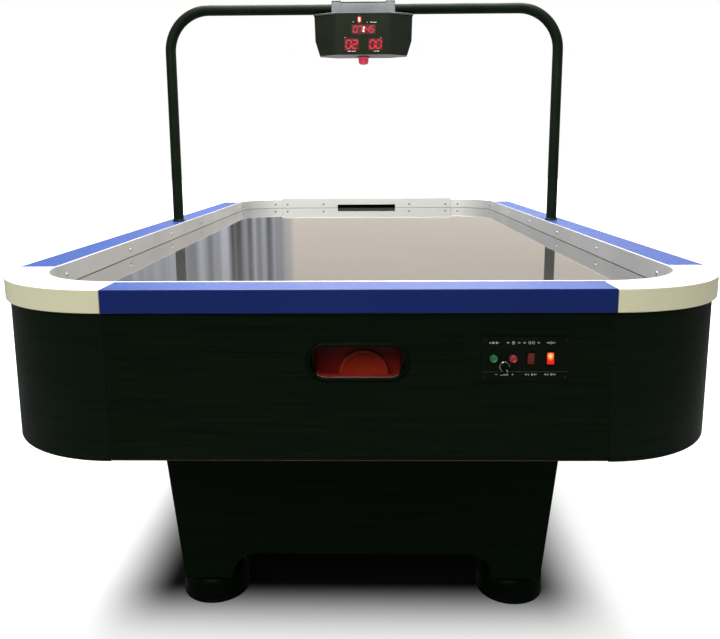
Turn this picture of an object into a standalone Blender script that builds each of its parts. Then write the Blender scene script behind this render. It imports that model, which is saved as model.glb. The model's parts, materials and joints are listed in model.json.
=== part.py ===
"""Air hockey table with an overhead scoreboard, modelled as separate parts.

Units are metres and +Z is up. The origin is on the floor under the middle of the table. X runs across
the table and Y along it. The end with the controls is the front, at -Y.
"""

import math

import bmesh
import bpy
from mathutils import Matrix

# Overall table
LENGTH = 2.46
WIDTH = 1.30
RAIL_TOP = 0.800
GAP = 0.0003

# Top rails, corner caps and the aluminium walls round the field
CORNER_RADIUS = 0.243
CORNER_STEPS = 12
RAIL_WIDTH = 0.070
RAIL_THICKNESS = 0.039
RAIL_EDGE_ROUND = 0.0018
WALL_THICKNESS = 0.004
WALL_PROUD = 0.0005
REAR_GOAL_PROUD = 0.007

# Field and goals
FIELD_TOP = 0.760
FIELD_THICKNESS = 0.012
FIELD_EDGE_INSET = 0.030
GOAL_WIDTH = 0.277
GOAL_HEIGHT = 0.0155
GOAL_CHUTE_CLEARANCE = 0.0035

# Cabinet
CABINET_INSET = 0.008
PANEL_THICKNESS = 0.018
CABINET_BOTTOM = 0.513
BOTTOM_BOARD_DROP = 0.002
BOTTOM_BOARD_TOP = 0.528
VENT_RADIUS = 0.075

# Plenum tray under the field
PLENUM_HALF_X = 0.560
PLENUM_HALF_Y = 1.100
PLENUM_BOTTOM = 0.690
PLENUM_WALL = 0.012
DUCT_X = 0.090
DUCT_Y = 0.046

# Pedestals
PEDESTAL_FACE_SETBACK = 0.385
PEDESTAL_DEPTH = 0.460
PEDESTAL_BOTTOM = 0.064
PEDESTAL_HALF_BOTTOM = 0.400
PEDESTAL_HALF_TOP = 0.447
PEDESTAL_WALL = 0.018
ARCH_TOP = 0.124
ARCH_HALF_X = 0.293
ARCH_HALF_Y = 0.130
ARCH_ROUND = 0.058
ARCH_CAVITY_OVERLAP = 0.004

# Levelling feet
FOOT_RADIUS = 0.0745
FOOT_INSET = 0.0755
FOOT_X = 0.345
STEM_RADIUS = 0.008
STEM_TOP = 0.110
STEM_CLEARANCE = 0.001

# Puck return in each end panel
POCKET_Z = 0.680
POCKET_WIDTH = 0.152
POCKET_HEIGHT = 0.050
BEZEL_WIDTH = 0.169
BEZEL_HEIGHT = 0.062
BEZEL_PROUD = 0.004
SLEEVE_WALL = 0.0018
TRAY_WALL = 0.0025
TRAY_DEPTH = 0.0455
TRAY_HALF_WIDTH = 0.071
TRAY_HALF_MOUTH = 0.1455
TRAY_FLOOR = 0.603
TRAY_SHOULDER_LOW = 0.706
TRAY_SHOULDER_HIGH = 0.726
TRAY_TOP = 0.7475
TRAY_CORNER_ROUND = 0.016
TRAY_FLANGE = 0.009

# Puck, standing in the front return tray and leaning back
PUCK_RADIUS = 0.04125
PUCK_THICKNESS = 0.007
PUCK_LEAN = math.radians(12.0)
PUCK_PIVOT_X = 0.009
PUCK_PIVOT_SETBACK = 0.022
PUCK_PIVOT_Z = TRAY_FLOOR + 0.0014

# Control plate on the front panel
PLATE_X = 0.267
PLATE_Z = 0.685
PLATE_WIDTH = 0.140
PLATE_HEIGHT = 0.072
PLATE_THICKNESS = 0.002
START_AT = (0.216, 0.6864)
MINUTES_AT = (0.247, 0.6862)
KNOB_AT = (0.2334, 0.6734)
SCOREBOARD_SWITCH_AT = (0.2755, 0.6862)
MAIN_SWITCH_AT = (0.3062, 0.6862)
BUTTON_RADIUS = 0.0062
KNOB_RADIUS = 0.0082
KNOB_SHAFT_RADIUS = 0.003
CONTROL_CLEARANCE = 0.0005
ROCKER_WIDTH = 0.011
ROCKER_RADIUS = 0.0092
ROCKER_TILT = math.radians(8.0)
ROCKER_SETBACK = 0.001

# Blower under the plenum tray
BLOWER_Z = 0.606
BLOWER_WIDTH = 0.100
BLOWER_WALL = 0.002
SCROLL_START = 0.055
SCROLL_END = 0.073
IMPELLER_RADIUS = 0.049
IMPELLER_WIDTH = 0.070
IMPELLER_BLADES = 20
MOTOR_RADIUS = 0.045
MOTOR_LENGTH = 0.080
SHAFT_RADIUS = 0.004

# Overhead arch
POST_X = 0.604
TUBE_RADIUS = 0.016
TUBE_WALL = 0.002
BAR_Z = 1.4535
BEND_RADIUS = 0.125
BAR_JOINT_X = 0.340
SPIGOT_LENGTH = 0.040
SPIGOT_RADIUS = 0.0137
POST_SOCKET_FLOOR = 0.772
COLLAR_RADIUS = 0.0190
COLLAR_HEIGHT = 0.005

# Scoreboard and its clamp
CLAMP_HALF_LENGTH = 0.0975
CLAMP_COLLAR_LENGTH = 0.0300
CLAMP_HALF_DEPTH = 0.0190
CLAMP_CHANNEL_HALF_Y = 0.0092
CLAMP_COLLAR_EXTRA = 0.0040
BOARD_TOP = 1.4372
BOARD_KINK = 1.3562
BOARD_BOTTOM = 1.3127
BOARD_HALF_TOP = 0.1520
BOARD_HALF_KINK = 0.1490
BOARD_HALF_BOTTOM = 0.1355
BOARD_FOLD_X = 0.0835
BOARD_HALF_DEPTH = 0.042
BOARD_END_HALF_DEPTH = 0.014
SHELL_WALL = 0.0025
CIRCUIT_THICKNESS = 0.0016
BEACON_RADIUS = 0.017
BEACON_LENGTH = 0.0245

# Worked out from the driving dimensions
HALF_X = WIDTH / 2
HALF_Y = LENGTH / 2
ARC_X = HALF_X - CORNER_RADIUS
ARC_Y = HALF_Y - CORNER_RADIUS
RAIL_BOTTOM = RAIL_TOP - RAIL_THICKNESS
PANEL_TOP = RAIL_BOTTOM - GAP
PANEL_FACE_X = HALF_X - CABINET_INSET
PANEL_FACE_Y = HALF_Y - CABINET_INSET
PANEL_BACK_X = PANEL_FACE_X - PANEL_THICKNESS
PANEL_BACK_Y = PANEL_FACE_Y - PANEL_THICKNESS
WALL_OUTER_X = HALF_X - RAIL_WIDTH - GAP
WALL_OUTER_Y = HALF_Y - RAIL_WIDTH - GAP
WALL_TOP = RAIL_TOP + WALL_PROUD
WALL_BOTTOM = FIELD_TOP + GAP
FIELD_BOTTOM = FIELD_TOP - FIELD_THICKNESS
BOTTOM_BOARD_LOW = CABINET_BOTTOM - BOTTOM_BOARD_DROP
CHUTE_HALF_X = GOAL_WIDTH / 2 + GOAL_CHUTE_CLEARANCE
PEDESTAL_TOP = BOTTOM_BOARD_LOW - GAP
PEDESTAL_Y = HALF_Y - PEDESTAL_FACE_SETBACK - PEDESTAL_DEPTH / 2
TRAY_FACE_Y = PANEL_BACK_Y - GAP
PLATE_FACE_Y = PANEL_FACE_Y + GAP + PLATE_THICKNESS

FACING_FRONT = (math.pi / 2, 0.0, 0.0)
ALONG_X = (0.0, math.pi / 2, 0.0)
OVERSHOOT = 0.010

# Colour, roughness and metallic value of each material
LOOKS = {
    "blue_laminate": ((0.010, 0.028, 0.160), 0.35, 0.0),
    "white_laminate": ((0.800, 0.780, 0.690), 0.35, 0.0),
    "aluminium": ((0.560, 0.560, 0.550), 0.35, 1.0),
    "playfield": ((0.520, 0.470, 0.420), 0.12, 0.0),
    "black_laminate": ((0.006, 0.010, 0.007), 0.45, 0.0),
    "raw_board": ((0.350, 0.230, 0.120), 0.80, 0.0),
    "black_plastic": ((0.008, 0.010, 0.008), 0.35, 0.0),
    "red_tray": ((0.180, 0.012, 0.006), 0.40, 0.0),
    "red_puck": ((0.350, 0.030, 0.015), 0.40, 0.0),
    "green_button": ((0.010, 0.200, 0.040), 0.30, 0.0),
    "red_button": ((0.350, 0.020, 0.030), 0.30, 0.0),
    "dark_red_rocker": ((0.120, 0.012, 0.008), 0.30, 0.0),
    "lit_rocker": ((0.900, 0.120, 0.020), 0.30, 0.0),
    "zinc_plate": ((0.450, 0.450, 0.460), 0.45, 1.0),
    "black_tube": ((0.010, 0.013, 0.010), 0.35, 0.4),
    "silver_cast": ((0.480, 0.480, 0.500), 0.35, 0.9),
    "circuit_board": ((0.010, 0.090, 0.030), 0.50, 0.0),
    "red_lens": ((0.600, 0.030, 0.070), 0.15, 0.0),
}


def clear_scene():
    for obj in list(bpy.data.objects):
        bpy.data.objects.remove(obj, do_unlink=True)


def make_collection(name):
    collection = bpy.data.collections.new(name)
    bpy.context.scene.collection.children.link(collection)
    return collection


def make_material(name):
    color, roughness, metallic = LOOKS[name]
    material = bpy.data.materials.new(name)
    material.use_nodes = True
    shader = material.node_tree.nodes["Principled BSDF"]
    shader.inputs["Base Color"].default_value = (*color, 1.0)
    shader.inputs["Roughness"].default_value = roughness
    shader.inputs["Metallic"].default_value = metallic
    material.diffuse_color = (*color, 1.0)
    return material


clear_scene()
PARTS = make_collection("air_hockey_table")
CUTTERS = make_collection("cutters")
MATERIALS = {name: make_material(name) for name in LOOKS}


# Meshes

def mesh_from_bmesh(bm):
    mesh = bpy.data.meshes.new("shape")
    bm.to_mesh(mesh)
    bm.free()
    return mesh


def box_mesh(size_x, size_y, size_z):
    bm = bmesh.new()
    bmesh.ops.create_cube(bm, size=1.0, matrix=Matrix.Diagonal((size_x, size_y, size_z, 1.0)))
    return mesh_from_bmesh(bm)


def box_between(low, high):
    """A box mesh and the location of its centre, from its lowest and highest corners."""
    size = [b - a for a, b in zip(low, high)]
    centre = [(a + b) / 2 for a, b in zip(low, high)]
    return box_mesh(*size), centre


def tapered_box_mesh(half_bottom_x, half_top_x, size_y, height):
    """A box whose sides lean, as wide as stated at its bottom and its top."""
    mesh = box_mesh(1.0, size_y, height)
    for vertex in mesh.vertices:
        vertex.co.x *= 2 * (half_top_x if vertex.co.z > 0 else half_bottom_x)
    return mesh


def cylinder_mesh(radius, length, segments=24):
    bm = bmesh.new()
    bmesh.ops.create_cone(
        bm, cap_ends=True, segments=segments, radius1=radius, radius2=radius, depth=length
    )
    return mesh_from_bmesh(bm)


def mesh_from_curve(curve):
    """A closed mesh of a curve, with its loose caps welded on."""
    holder = bpy.data.objects.new("curve_holder", curve)
    bpy.context.scene.collection.objects.link(holder)
    depsgraph = bpy.context.evaluated_depsgraph_get()
    mesh = bpy.data.meshes.new_from_object(holder.evaluated_get(depsgraph))
    bpy.data.objects.remove(holder, do_unlink=True)
    bpy.data.curves.remove(curve)
    bm = bmesh.new()
    bm.from_mesh(mesh)
    bmesh.ops.remove_doubles(bm, verts=bm.verts, dist=0.00001)
    bmesh.ops.recalc_face_normals(bm, faces=bm.faces)
    bm.to_mesh(mesh)
    bm.free()
    return mesh


def plate_mesh(outline, thickness):
    """A flat plate in the XY plane, centred on z = 0, from its outline."""
    curve = bpy.data.curves.new("outline", "CURVE")
    curve.dimensions = "2D"
    curve.fill_mode = "BOTH"
    curve.extrude = thickness / 2
    spline = curve.splines.new("POLY")
    spline.points.add(len(outline) - 1)
    for point, (x, y) in zip(spline.points, outline):
        point.co = (x, y, 0.0, 1.0)
    spline.use_cyclic_u = True
    return mesh_from_curve(curve)


def rod_mesh(path, radius):
    """A round bar along a path of points, with flat ends."""
    curve = bpy.data.curves.new("path", "CURVE")
    curve.dimensions = "3D"
    curve.bevel_depth = radius
    curve.bevel_resolution = 6
    curve.use_fill_caps = True
    spline = curve.splines.new("POLY")
    spline.points.add(len(path) - 1)
    for point, position in zip(spline.points, path):
        point.co = (*position, 1.0)
    return mesh_from_curve(curve)


# Outlines

def arc(centre, radius, start, end, steps):
    """Points on an arc, from the angle start to the angle end in degrees."""
    angles = [math.radians(start + (end - start) * i / steps) for i in range(steps + 1)]
    return [(centre[0] + radius * math.cos(a), centre[1] + radius * math.sin(a)) for a in angles]


def quarter_ring(outer, inner, steps=CORNER_STEPS):
    return arc((0, 0), outer, 0, 90, steps) + arc((0, 0), inner, 90, 0, steps)


def rounded_rectangle(half_x, half_y, radius, steps=8):
    outline = []
    for turn, (sign_x, sign_y) in enumerate(((1, 1), (-1, 1), (-1, -1), (1, -1))):
        centre = (sign_x * (half_x - radius), sign_y * (half_y - radius))
        outline += arc(centre, radius, 90 * turn, 90 * turn + 90, steps)
    return outline


def arch_outline(half_width, bottom, top, radius):
    """A doorway shape with rounded upper corners."""
    return (
        [(-half_width, bottom), (half_width, bottom)]
        + arc((half_width - radius, top - radius), radius, 0, 90, 6)
        + arc((radius - half_width, top - radius), radius, 90, 180, 6)
    )


# Objects

def shade_round(mesh):
    mesh.shade_smooth()
    mesh.set_sharp_from_angle(angle=math.radians(35))


def add_part(name, mesh, look, location=(0, 0, 0), rotation=(0, 0, 0)):
    mesh.materials.clear()
    mesh.materials.append(MATERIALS[look])
    shade_round(mesh)
    obj = bpy.data.objects.new(name, mesh)
    obj.location = location
    obj.rotation_euler = rotation
    PARTS.objects.link(obj)
    return obj


def add_box(name, low, high, look):
    mesh, centre = box_between(low, high)
    return add_part(name, mesh, look, centre)


def add_tool(name, mesh, location=(0, 0, 0), rotation=(0, 0, 0)):
    """A shape that is only there to be cut from a part, or joined to one."""
    obj = bpy.data.objects.new(name, mesh)
    obj.location = location
    obj.rotation_euler = rotation
    obj.hide_render = True
    obj.display_type = "WIRE"
    CUTTERS.objects.link(obj)
    return obj


def add_box_tool(name, low, high):
    mesh, centre = box_between(low, high)
    return add_tool(name, mesh, centre)


def combine(part, tool, operation):
    modifier = part.modifiers.new(tool.name, "BOOLEAN")
    modifier.operation = operation
    modifier.solver = "EXACT"
    modifier.object = tool


def cut(part, tool):
    combine(part, tool, "DIFFERENCE")


def join(part, tool):
    combine(part, tool, "UNION")


def round_edges(part, width, segments=2):
    bevel = part.modifiers.new("Rounded edges", "BEVEL")
    bevel.width = width
    bevel.segments = segments
    bevel.limit_method = "ANGLE"
    bevel.angle_limit = math.radians(40)
    bevel.use_clamp_overlap = True


def turn_profile(obj, steps):
    """Spin an object's profile, which runs down its outer side, round its own Z axis."""
    screw = obj.modifiers.new("Turned", "SCREW")
    screw.steps = steps
    screw.render_steps = steps
    screw.use_merge_vertices = True
    screw.merge_threshold = 0.00001
    screw.use_smooth_shade = True


def add_turned(name, profile, look, location=(0, 0, 0), rotation=(0, 0, 0), steps=20, ring=False):
    """A turned part. A ring's profile is a closed loop that stays off the axis."""
    points = [(radius, 0.0, z) for radius, z in profile]
    edges = [(i, i + 1) for i in range(len(points) - 1)]
    if ring:
        edges.append((len(points) - 1, 0))
    mesh = bpy.data.meshes.new(name)
    mesh.from_pydata(points, edges, [])
    obj = add_part(name, mesh, look, location, rotation)
    turn_profile(obj, steps)
    return obj


def add_half_turn_copy(source, name):
    """The same part at the opposite side of the table, half a turn round the origin's Z axis."""
    depsgraph = bpy.context.evaluated_depsgraph_get()
    mesh = bpy.data.meshes.new_from_object(source.evaluated_get(depsgraph))
    copy = bpy.data.objects.new(name, mesh)
    copy.matrix_world = Matrix.Rotation(math.pi, 4, "Z") @ source.matrix_world
    PARTS.objects.link(copy)
    return copy


def refresh():
    """Bring every object's world matrix up to date before a copy reads it."""
    bpy.context.view_layer.update()


def at_each_corner():
    """The name, arc centre and rotation of each corner of the table."""
    corners = (("rear_right", 1, 1), ("rear_left", -1, 1), ("front_left", -1, -1), ("front_right", 1, -1))
    for turn, (name, sign_x, sign_y) in enumerate(corners):
        yield name, (sign_x * ARC_X, sign_y * ARC_Y), turn * math.pi / 2


def add_corner_pieces(suffix, outer, inner, low, high, look, edge_round=0.0):
    """Four quarter rings, one at each corner, sharing one mesh."""
    mesh = plate_mesh(quarter_ring(outer, inner), high - low)
    for name, (x, y), turn in at_each_corner():
        piece = add_part(f"{name}_{suffix}", mesh, look, (x, y, (low + high) / 2), (0, 0, turn))
        if edge_round:
            round_edges(piece, edge_round)


# Top rails and the walls round the field

def build_rails():
    end_low = (-ARC_X + GAP, -HALF_Y, RAIL_BOTTOM)
    end_high = (ARC_X - GAP, -HALF_Y + RAIL_WIDTH, RAIL_TOP)
    front_rail = add_box("front_rail", end_low, end_high, "blue_laminate")
    round_edges(front_rail, RAIL_EDGE_ROUND)
    chute_top = WALL_BOTTOM + GOAL_HEIGHT + GOAL_CHUTE_CLEARANCE
    chute_low = (-CHUTE_HALF_X, -HALF_Y + 2 * CABINET_INSET, RAIL_BOTTOM - OVERSHOOT)
    chute_high = (CHUTE_HALF_X, -HALF_Y + RAIL_WIDTH + OVERSHOOT, chute_top)
    cut(front_rail, add_box_tool("rail_chute_cutter", chute_low, chute_high))
    refresh()
    add_half_turn_copy(front_rail, "rear_rail")

    side_low = (-HALF_X, -ARC_Y + GAP, RAIL_BOTTOM)
    side_high = (-HALF_X + RAIL_WIDTH, ARC_Y - GAP, RAIL_TOP)
    left_rail = add_box("left_rail", side_low, side_high, "blue_laminate")
    round_edges(left_rail, RAIL_EDGE_ROUND)
    socket_height = RAIL_TOP + OVERSHOOT - POST_SOCKET_FLOOR
    socket_z = POST_SOCKET_FLOOR + socket_height / 2
    socket = cylinder_mesh(TUBE_RADIUS + 2 * GAP, socket_height)
    cut(left_rail, add_tool("post_socket_cutter", socket, (-POST_X, 0, socket_z)))
    refresh()
    add_half_turn_copy(left_rail, "right_rail")

    inner = CORNER_RADIUS - RAIL_WIDTH
    add_corner_pieces(
        "corner_cap", CORNER_RADIUS, inner, RAIL_BOTTOM, RAIL_TOP, "white_laminate", RAIL_EDGE_ROUND
    )


def build_walls():
    for name, side in (("left_wall", -1), ("right_wall", 1)):
        across = sorted((side * WALL_OUTER_X, side * (WALL_OUTER_X - WALL_THICKNESS)))
        low = (across[0], -ARC_Y + GAP, WALL_BOTTOM)
        high = (across[1], ARC_Y - GAP, WALL_TOP)
        add_box(name, low, high, "aluminium")

    outer = CORNER_RADIUS - RAIL_WIDTH - GAP
    add_corner_pieces("corner_wall", outer, outer - WALL_THICKNESS, WALL_BOTTOM, WALL_TOP, "aluminium")

    goal_tops = (("front_goal_plate", -1, WALL_TOP), ("rear_goal_plate", 1, RAIL_TOP + REAR_GOAL_PROUD))
    for name, end, top in goal_tops:
        along = sorted((end * WALL_OUTER_Y, end * (WALL_OUTER_Y - WALL_THICKNESS)))
        low = (-ARC_X + GAP, along[0], WALL_BOTTOM)
        high = (ARC_X - GAP, along[1], top)
        plate = add_box(name, low, high, "aluminium")
        slot_low = (-GOAL_WIDTH / 2, along[0] - OVERSHOOT, WALL_BOTTOM - OVERSHOOT)
        slot_high = (GOAL_WIDTH / 2, along[1] + OVERSHOOT, WALL_BOTTOM + GOAL_HEIGHT)
        cut(plate, add_box_tool(f"{name}_slot_cutter", slot_low, slot_high))


# Field, plenum tray and cabinet

def build_field():
    half_x = HALF_X - FIELD_EDGE_INSET
    half_y = HALF_Y - FIELD_EDGE_INSET
    outline = rounded_rectangle(half_x, half_y, CORNER_RADIUS - FIELD_EDGE_INSET)
    middle_z = (FIELD_TOP + FIELD_BOTTOM) / 2
    field = add_part("playfield", plate_mesh(outline, FIELD_THICKNESS), "playfield", (0, 0, middle_z))
    for end in (-1, 1):
        along = sorted((end * (WALL_OUTER_Y - GAP), end * HALF_Y))
        low = (-CHUTE_HALF_X, along[0], FIELD_BOTTOM - OVERSHOOT)
        high = (CHUTE_HALF_X, along[1], FIELD_TOP + OVERSHOOT)
        cut(field, add_box_tool(f"field_end_cutter_{end}", low, high))


def build_plenum():
    top = FIELD_BOTTOM - GAP
    low = (-PLENUM_HALF_X, -PLENUM_HALF_Y, PLENUM_BOTTOM)
    high = (PLENUM_HALF_X, PLENUM_HALF_Y, top)
    tray = add_box("plenum_tray", low, high, "raw_board")
    hollow_low = (PLENUM_WALL - PLENUM_HALF_X, PLENUM_WALL - PLENUM_HALF_Y, PLENUM_BOTTOM + PLENUM_WALL)
    hollow_high = (PLENUM_HALF_X - PLENUM_WALL, PLENUM_HALF_Y - PLENUM_WALL, top + OVERSHOOT)
    cut(tray, add_box_tool("plenum_hollow_cutter", hollow_low, hollow_high))
    duct_y = SCROLL_END - DUCT_Y / 2
    duct_low = (-DUCT_X / 2, duct_y - DUCT_Y / 2, PLENUM_BOTTOM - OVERSHOOT)
    duct_high = (DUCT_X / 2, duct_y + DUCT_Y / 2, PLENUM_BOTTOM + PLENUM_WALL + OVERSHOOT)
    cut(tray, add_box_tool("plenum_duct_cutter", duct_low, duct_high))


def end_panel(name):
    """A plain end panel at the front, with its puck return opening and goal chute rebate."""
    low = (-ARC_X + GAP, -PANEL_FACE_Y, CABINET_BOTTOM)
    high = (ARC_X - GAP, -PANEL_BACK_Y, PANEL_TOP)
    panel = add_box(name, low, high, "black_laminate")
    hole_half_x = POCKET_WIDTH / 2 + SLEEVE_WALL + GAP
    hole_half_z = POCKET_HEIGHT / 2 + SLEEVE_WALL + GAP
    hole = rounded_rectangle(hole_half_x, hole_half_z, hole_half_z - GAP)
    hole_mesh = plate_mesh(hole, PANEL_THICKNESS + 2 * OVERSHOOT)
    hole_y = -(PANEL_FACE_Y + PANEL_BACK_Y) / 2
    cut(panel, add_tool(f"{name}_pocket_cutter", hole_mesh, (0, hole_y, POCKET_Z), FACING_FRONT))
    rebate_low = (-TRAY_HALF_MOUTH, -PANEL_BACK_Y - PANEL_THICKNESS / 2, FIELD_BOTTOM - OVERSHOOT)
    rebate_high = (TRAY_HALF_MOUTH, -PANEL_BACK_Y + OVERSHOOT, PANEL_TOP + OVERSHOOT)
    cut(panel, add_box_tool(f"{name}_rebate_cutter", rebate_low, rebate_high))
    return panel


def build_cabinet():
    plain_panel = end_panel("plain_end_panel")
    refresh()
    add_half_turn_copy(plain_panel, "rear_panel")
    bpy.data.objects.remove(plain_panel, do_unlink=True)

    front_panel = end_panel("front_panel")
    opening_x = (START_AT[0] - 2 * BUTTON_RADIUS, MAIN_SWITCH_AT[0] + ROCKER_WIDTH)
    opening_z = (PLATE_Z - PLATE_HEIGHT / 3, PLATE_Z + PLATE_HEIGHT / 3)
    low = (opening_x[0], -PANEL_FACE_Y - OVERSHOOT, opening_z[0])
    high = (opening_x[1], -PANEL_BACK_Y + OVERSHOOT, opening_z[1])
    cut(front_panel, add_box_tool("control_opening_cutter", low, high))

    for name, side in (("left_panel", -1), ("right_panel", 1)):
        across = sorted((side * PANEL_FACE_X, side * PANEL_BACK_X))
        low = (across[0], -ARC_Y + GAP, CABINET_BOTTOM)
        high = (across[1], ARC_Y - GAP, PANEL_TOP)
        add_box(name, low, high, "black_laminate")

    outer = CORNER_RADIUS - CABINET_INSET
    inner = outer - PANEL_THICKNESS
    add_corner_pieces("corner_panel", outer, inner, BOTTOM_BOARD_LOW, PANEL_TOP, "black_laminate")

    outline = rounded_rectangle(PANEL_BACK_X - GAP, PANEL_BACK_Y - GAP, inner - GAP, CORNER_STEPS)
    thickness = BOTTOM_BOARD_TOP - BOTTOM_BOARD_LOW
    middle_z = (BOTTOM_BOARD_TOP + BOTTOM_BOARD_LOW) / 2
    board = add_part("bottom_board", plate_mesh(outline, thickness), "raw_board", (0, 0, middle_z))
    vent = cylinder_mesh(VENT_RADIUS, thickness + 2 * OVERSHOOT)
    cut(board, add_tool("vent_cutter", vent, (0, 0, middle_z)))


# Pedestals and feet

def pedestal_half_width(z):
    share = (z - PEDESTAL_BOTTOM) / (PEDESTAL_TOP - PEDESTAL_BOTTOM)
    return PEDESTAL_HALF_BOTTOM + share * (PEDESTAL_HALF_TOP - PEDESTAL_HALF_BOTTOM)


def foot_places():
    """The name and position of each foot, four under each pedestal."""
    for end, sign_y in (("front", -1), ("rear", 1)):
        outer_y = HALF_Y - PEDESTAL_FACE_SETBACK - FOOT_INSET
        inner_y = HALF_Y - PEDESTAL_FACE_SETBACK - PEDESTAL_DEPTH + FOOT_INSET
        for row, y in (("outer", outer_y), ("inner", inner_y)):
            for side, sign_x in (("left", -1), ("right", 1)):
                yield f"{end}_{row}_{side}_foot", (sign_x * FOOT_X, sign_y * y)


def build_pedestals():
    height = PEDESTAL_TOP - PEDESTAL_BOTTOM
    shell = tapered_box_mesh(PEDESTAL_HALF_BOTTOM, PEDESTAL_HALF_TOP, PEDESTAL_DEPTH, height)
    middle_z = (PEDESTAL_TOP + PEDESTAL_BOTTOM) / 2
    pedestal = add_part("front_pedestal", shell, "black_laminate", (0, -PEDESTAL_Y, middle_z))

    cavity_low = ARCH_TOP - ARCH_CAVITY_OVERLAP
    cavity_high = PEDESTAL_TOP - PEDESTAL_WALL
    cavity = tapered_box_mesh(
        pedestal_half_width(cavity_low) - PEDESTAL_WALL,
        pedestal_half_width(cavity_high) - PEDESTAL_WALL,
        PEDESTAL_DEPTH - 2 * PEDESTAL_WALL,
        cavity_high - cavity_low,
    )
    cavity_z = (cavity_low + cavity_high) / 2
    cut(pedestal, add_tool("pedestal_cavity_cutter", cavity, (0, -PEDESTAL_Y, cavity_z)))

    arch_low = PEDESTAL_BOTTOM - OVERSHOOT
    end_arch = plate_mesh(
        arch_outline(ARCH_HALF_X, arch_low, ARCH_TOP, ARCH_ROUND), PEDESTAL_DEPTH + 2 * OVERSHOOT
    )
    cut(pedestal, add_tool("end_arch_cutter", end_arch, (0, -PEDESTAL_Y, 0), FACING_FRONT))
    side_arch = plate_mesh(
        arch_outline(ARCH_HALF_Y, arch_low, ARCH_TOP, ARCH_ROUND), 2 * PEDESTAL_HALF_TOP + OVERSHOOT
    )
    facing_side = (math.pi / 2, 0.0, math.pi / 2)
    cut(pedestal, add_tool("side_arch_cutter", side_arch, (0, -PEDESTAL_Y, 0), facing_side))

    hole_top = cavity_low + OVERSHOOT
    hole_low = PEDESTAL_BOTTOM - OVERSHOOT
    for name, (x, y) in foot_places():
        if y < 0:
            hole = cylinder_mesh(STEM_RADIUS + STEM_CLEARANCE, hole_top - hole_low, segments=16)
            cut(pedestal, add_tool(f"{name}_hole_cutter", hole, (x, y, (hole_top + hole_low) / 2)))
    refresh()
    add_half_turn_copy(pedestal, "rear_pedestal")


def build_feet():
    top = PEDESTAL_BOTTOM - 0.0015
    profile = [
        (0.0, STEM_TOP),
        (STEM_RADIUS, STEM_TOP),
        (STEM_RADIUS, top),
        (FOOT_RADIUS - 0.022, top),
        (FOOT_RADIUS - 0.007, top - 0.007),
        (FOOT_RADIUS, top - 0.022),
        (FOOT_RADIUS, 0.009),
        (FOOT_RADIUS + 0.0015, 0.0075),
        (FOOT_RADIUS + 0.0015, 0.003),
        (FOOT_RADIUS - 0.0015, 0.0),
        (0.0, 0.0),
    ]
    for name, (x, y) in foot_places():
        add_turned(name, profile, "black_plastic", (x, y, 0), steps=18)


# Puck returns

def tray_outline(offset, extra_top=0.0):
    """The tray seen from the front: a wide mouth that narrows to the pocket, grown by offset."""
    narrow = TRAY_HALF_WIDTH + offset
    mouth = TRAY_HALF_MOUTH + offset
    floor = TRAY_FLOOR - offset
    corner = TRAY_CORNER_ROUND + offset
    right = [(mouth, TRAY_TOP + extra_top), (mouth, TRAY_SHOULDER_HIGH), (narrow, TRAY_SHOULDER_LOW)]
    right_corner = arc((narrow - corner, floor + corner), corner, 0, -90, 5)
    left_corner = arc((corner - narrow, floor + corner), corner, -90, -180, 5)
    left = [(-x, z) for x, z in reversed(right)]
    return right + right_corner + left_corner + left


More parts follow.
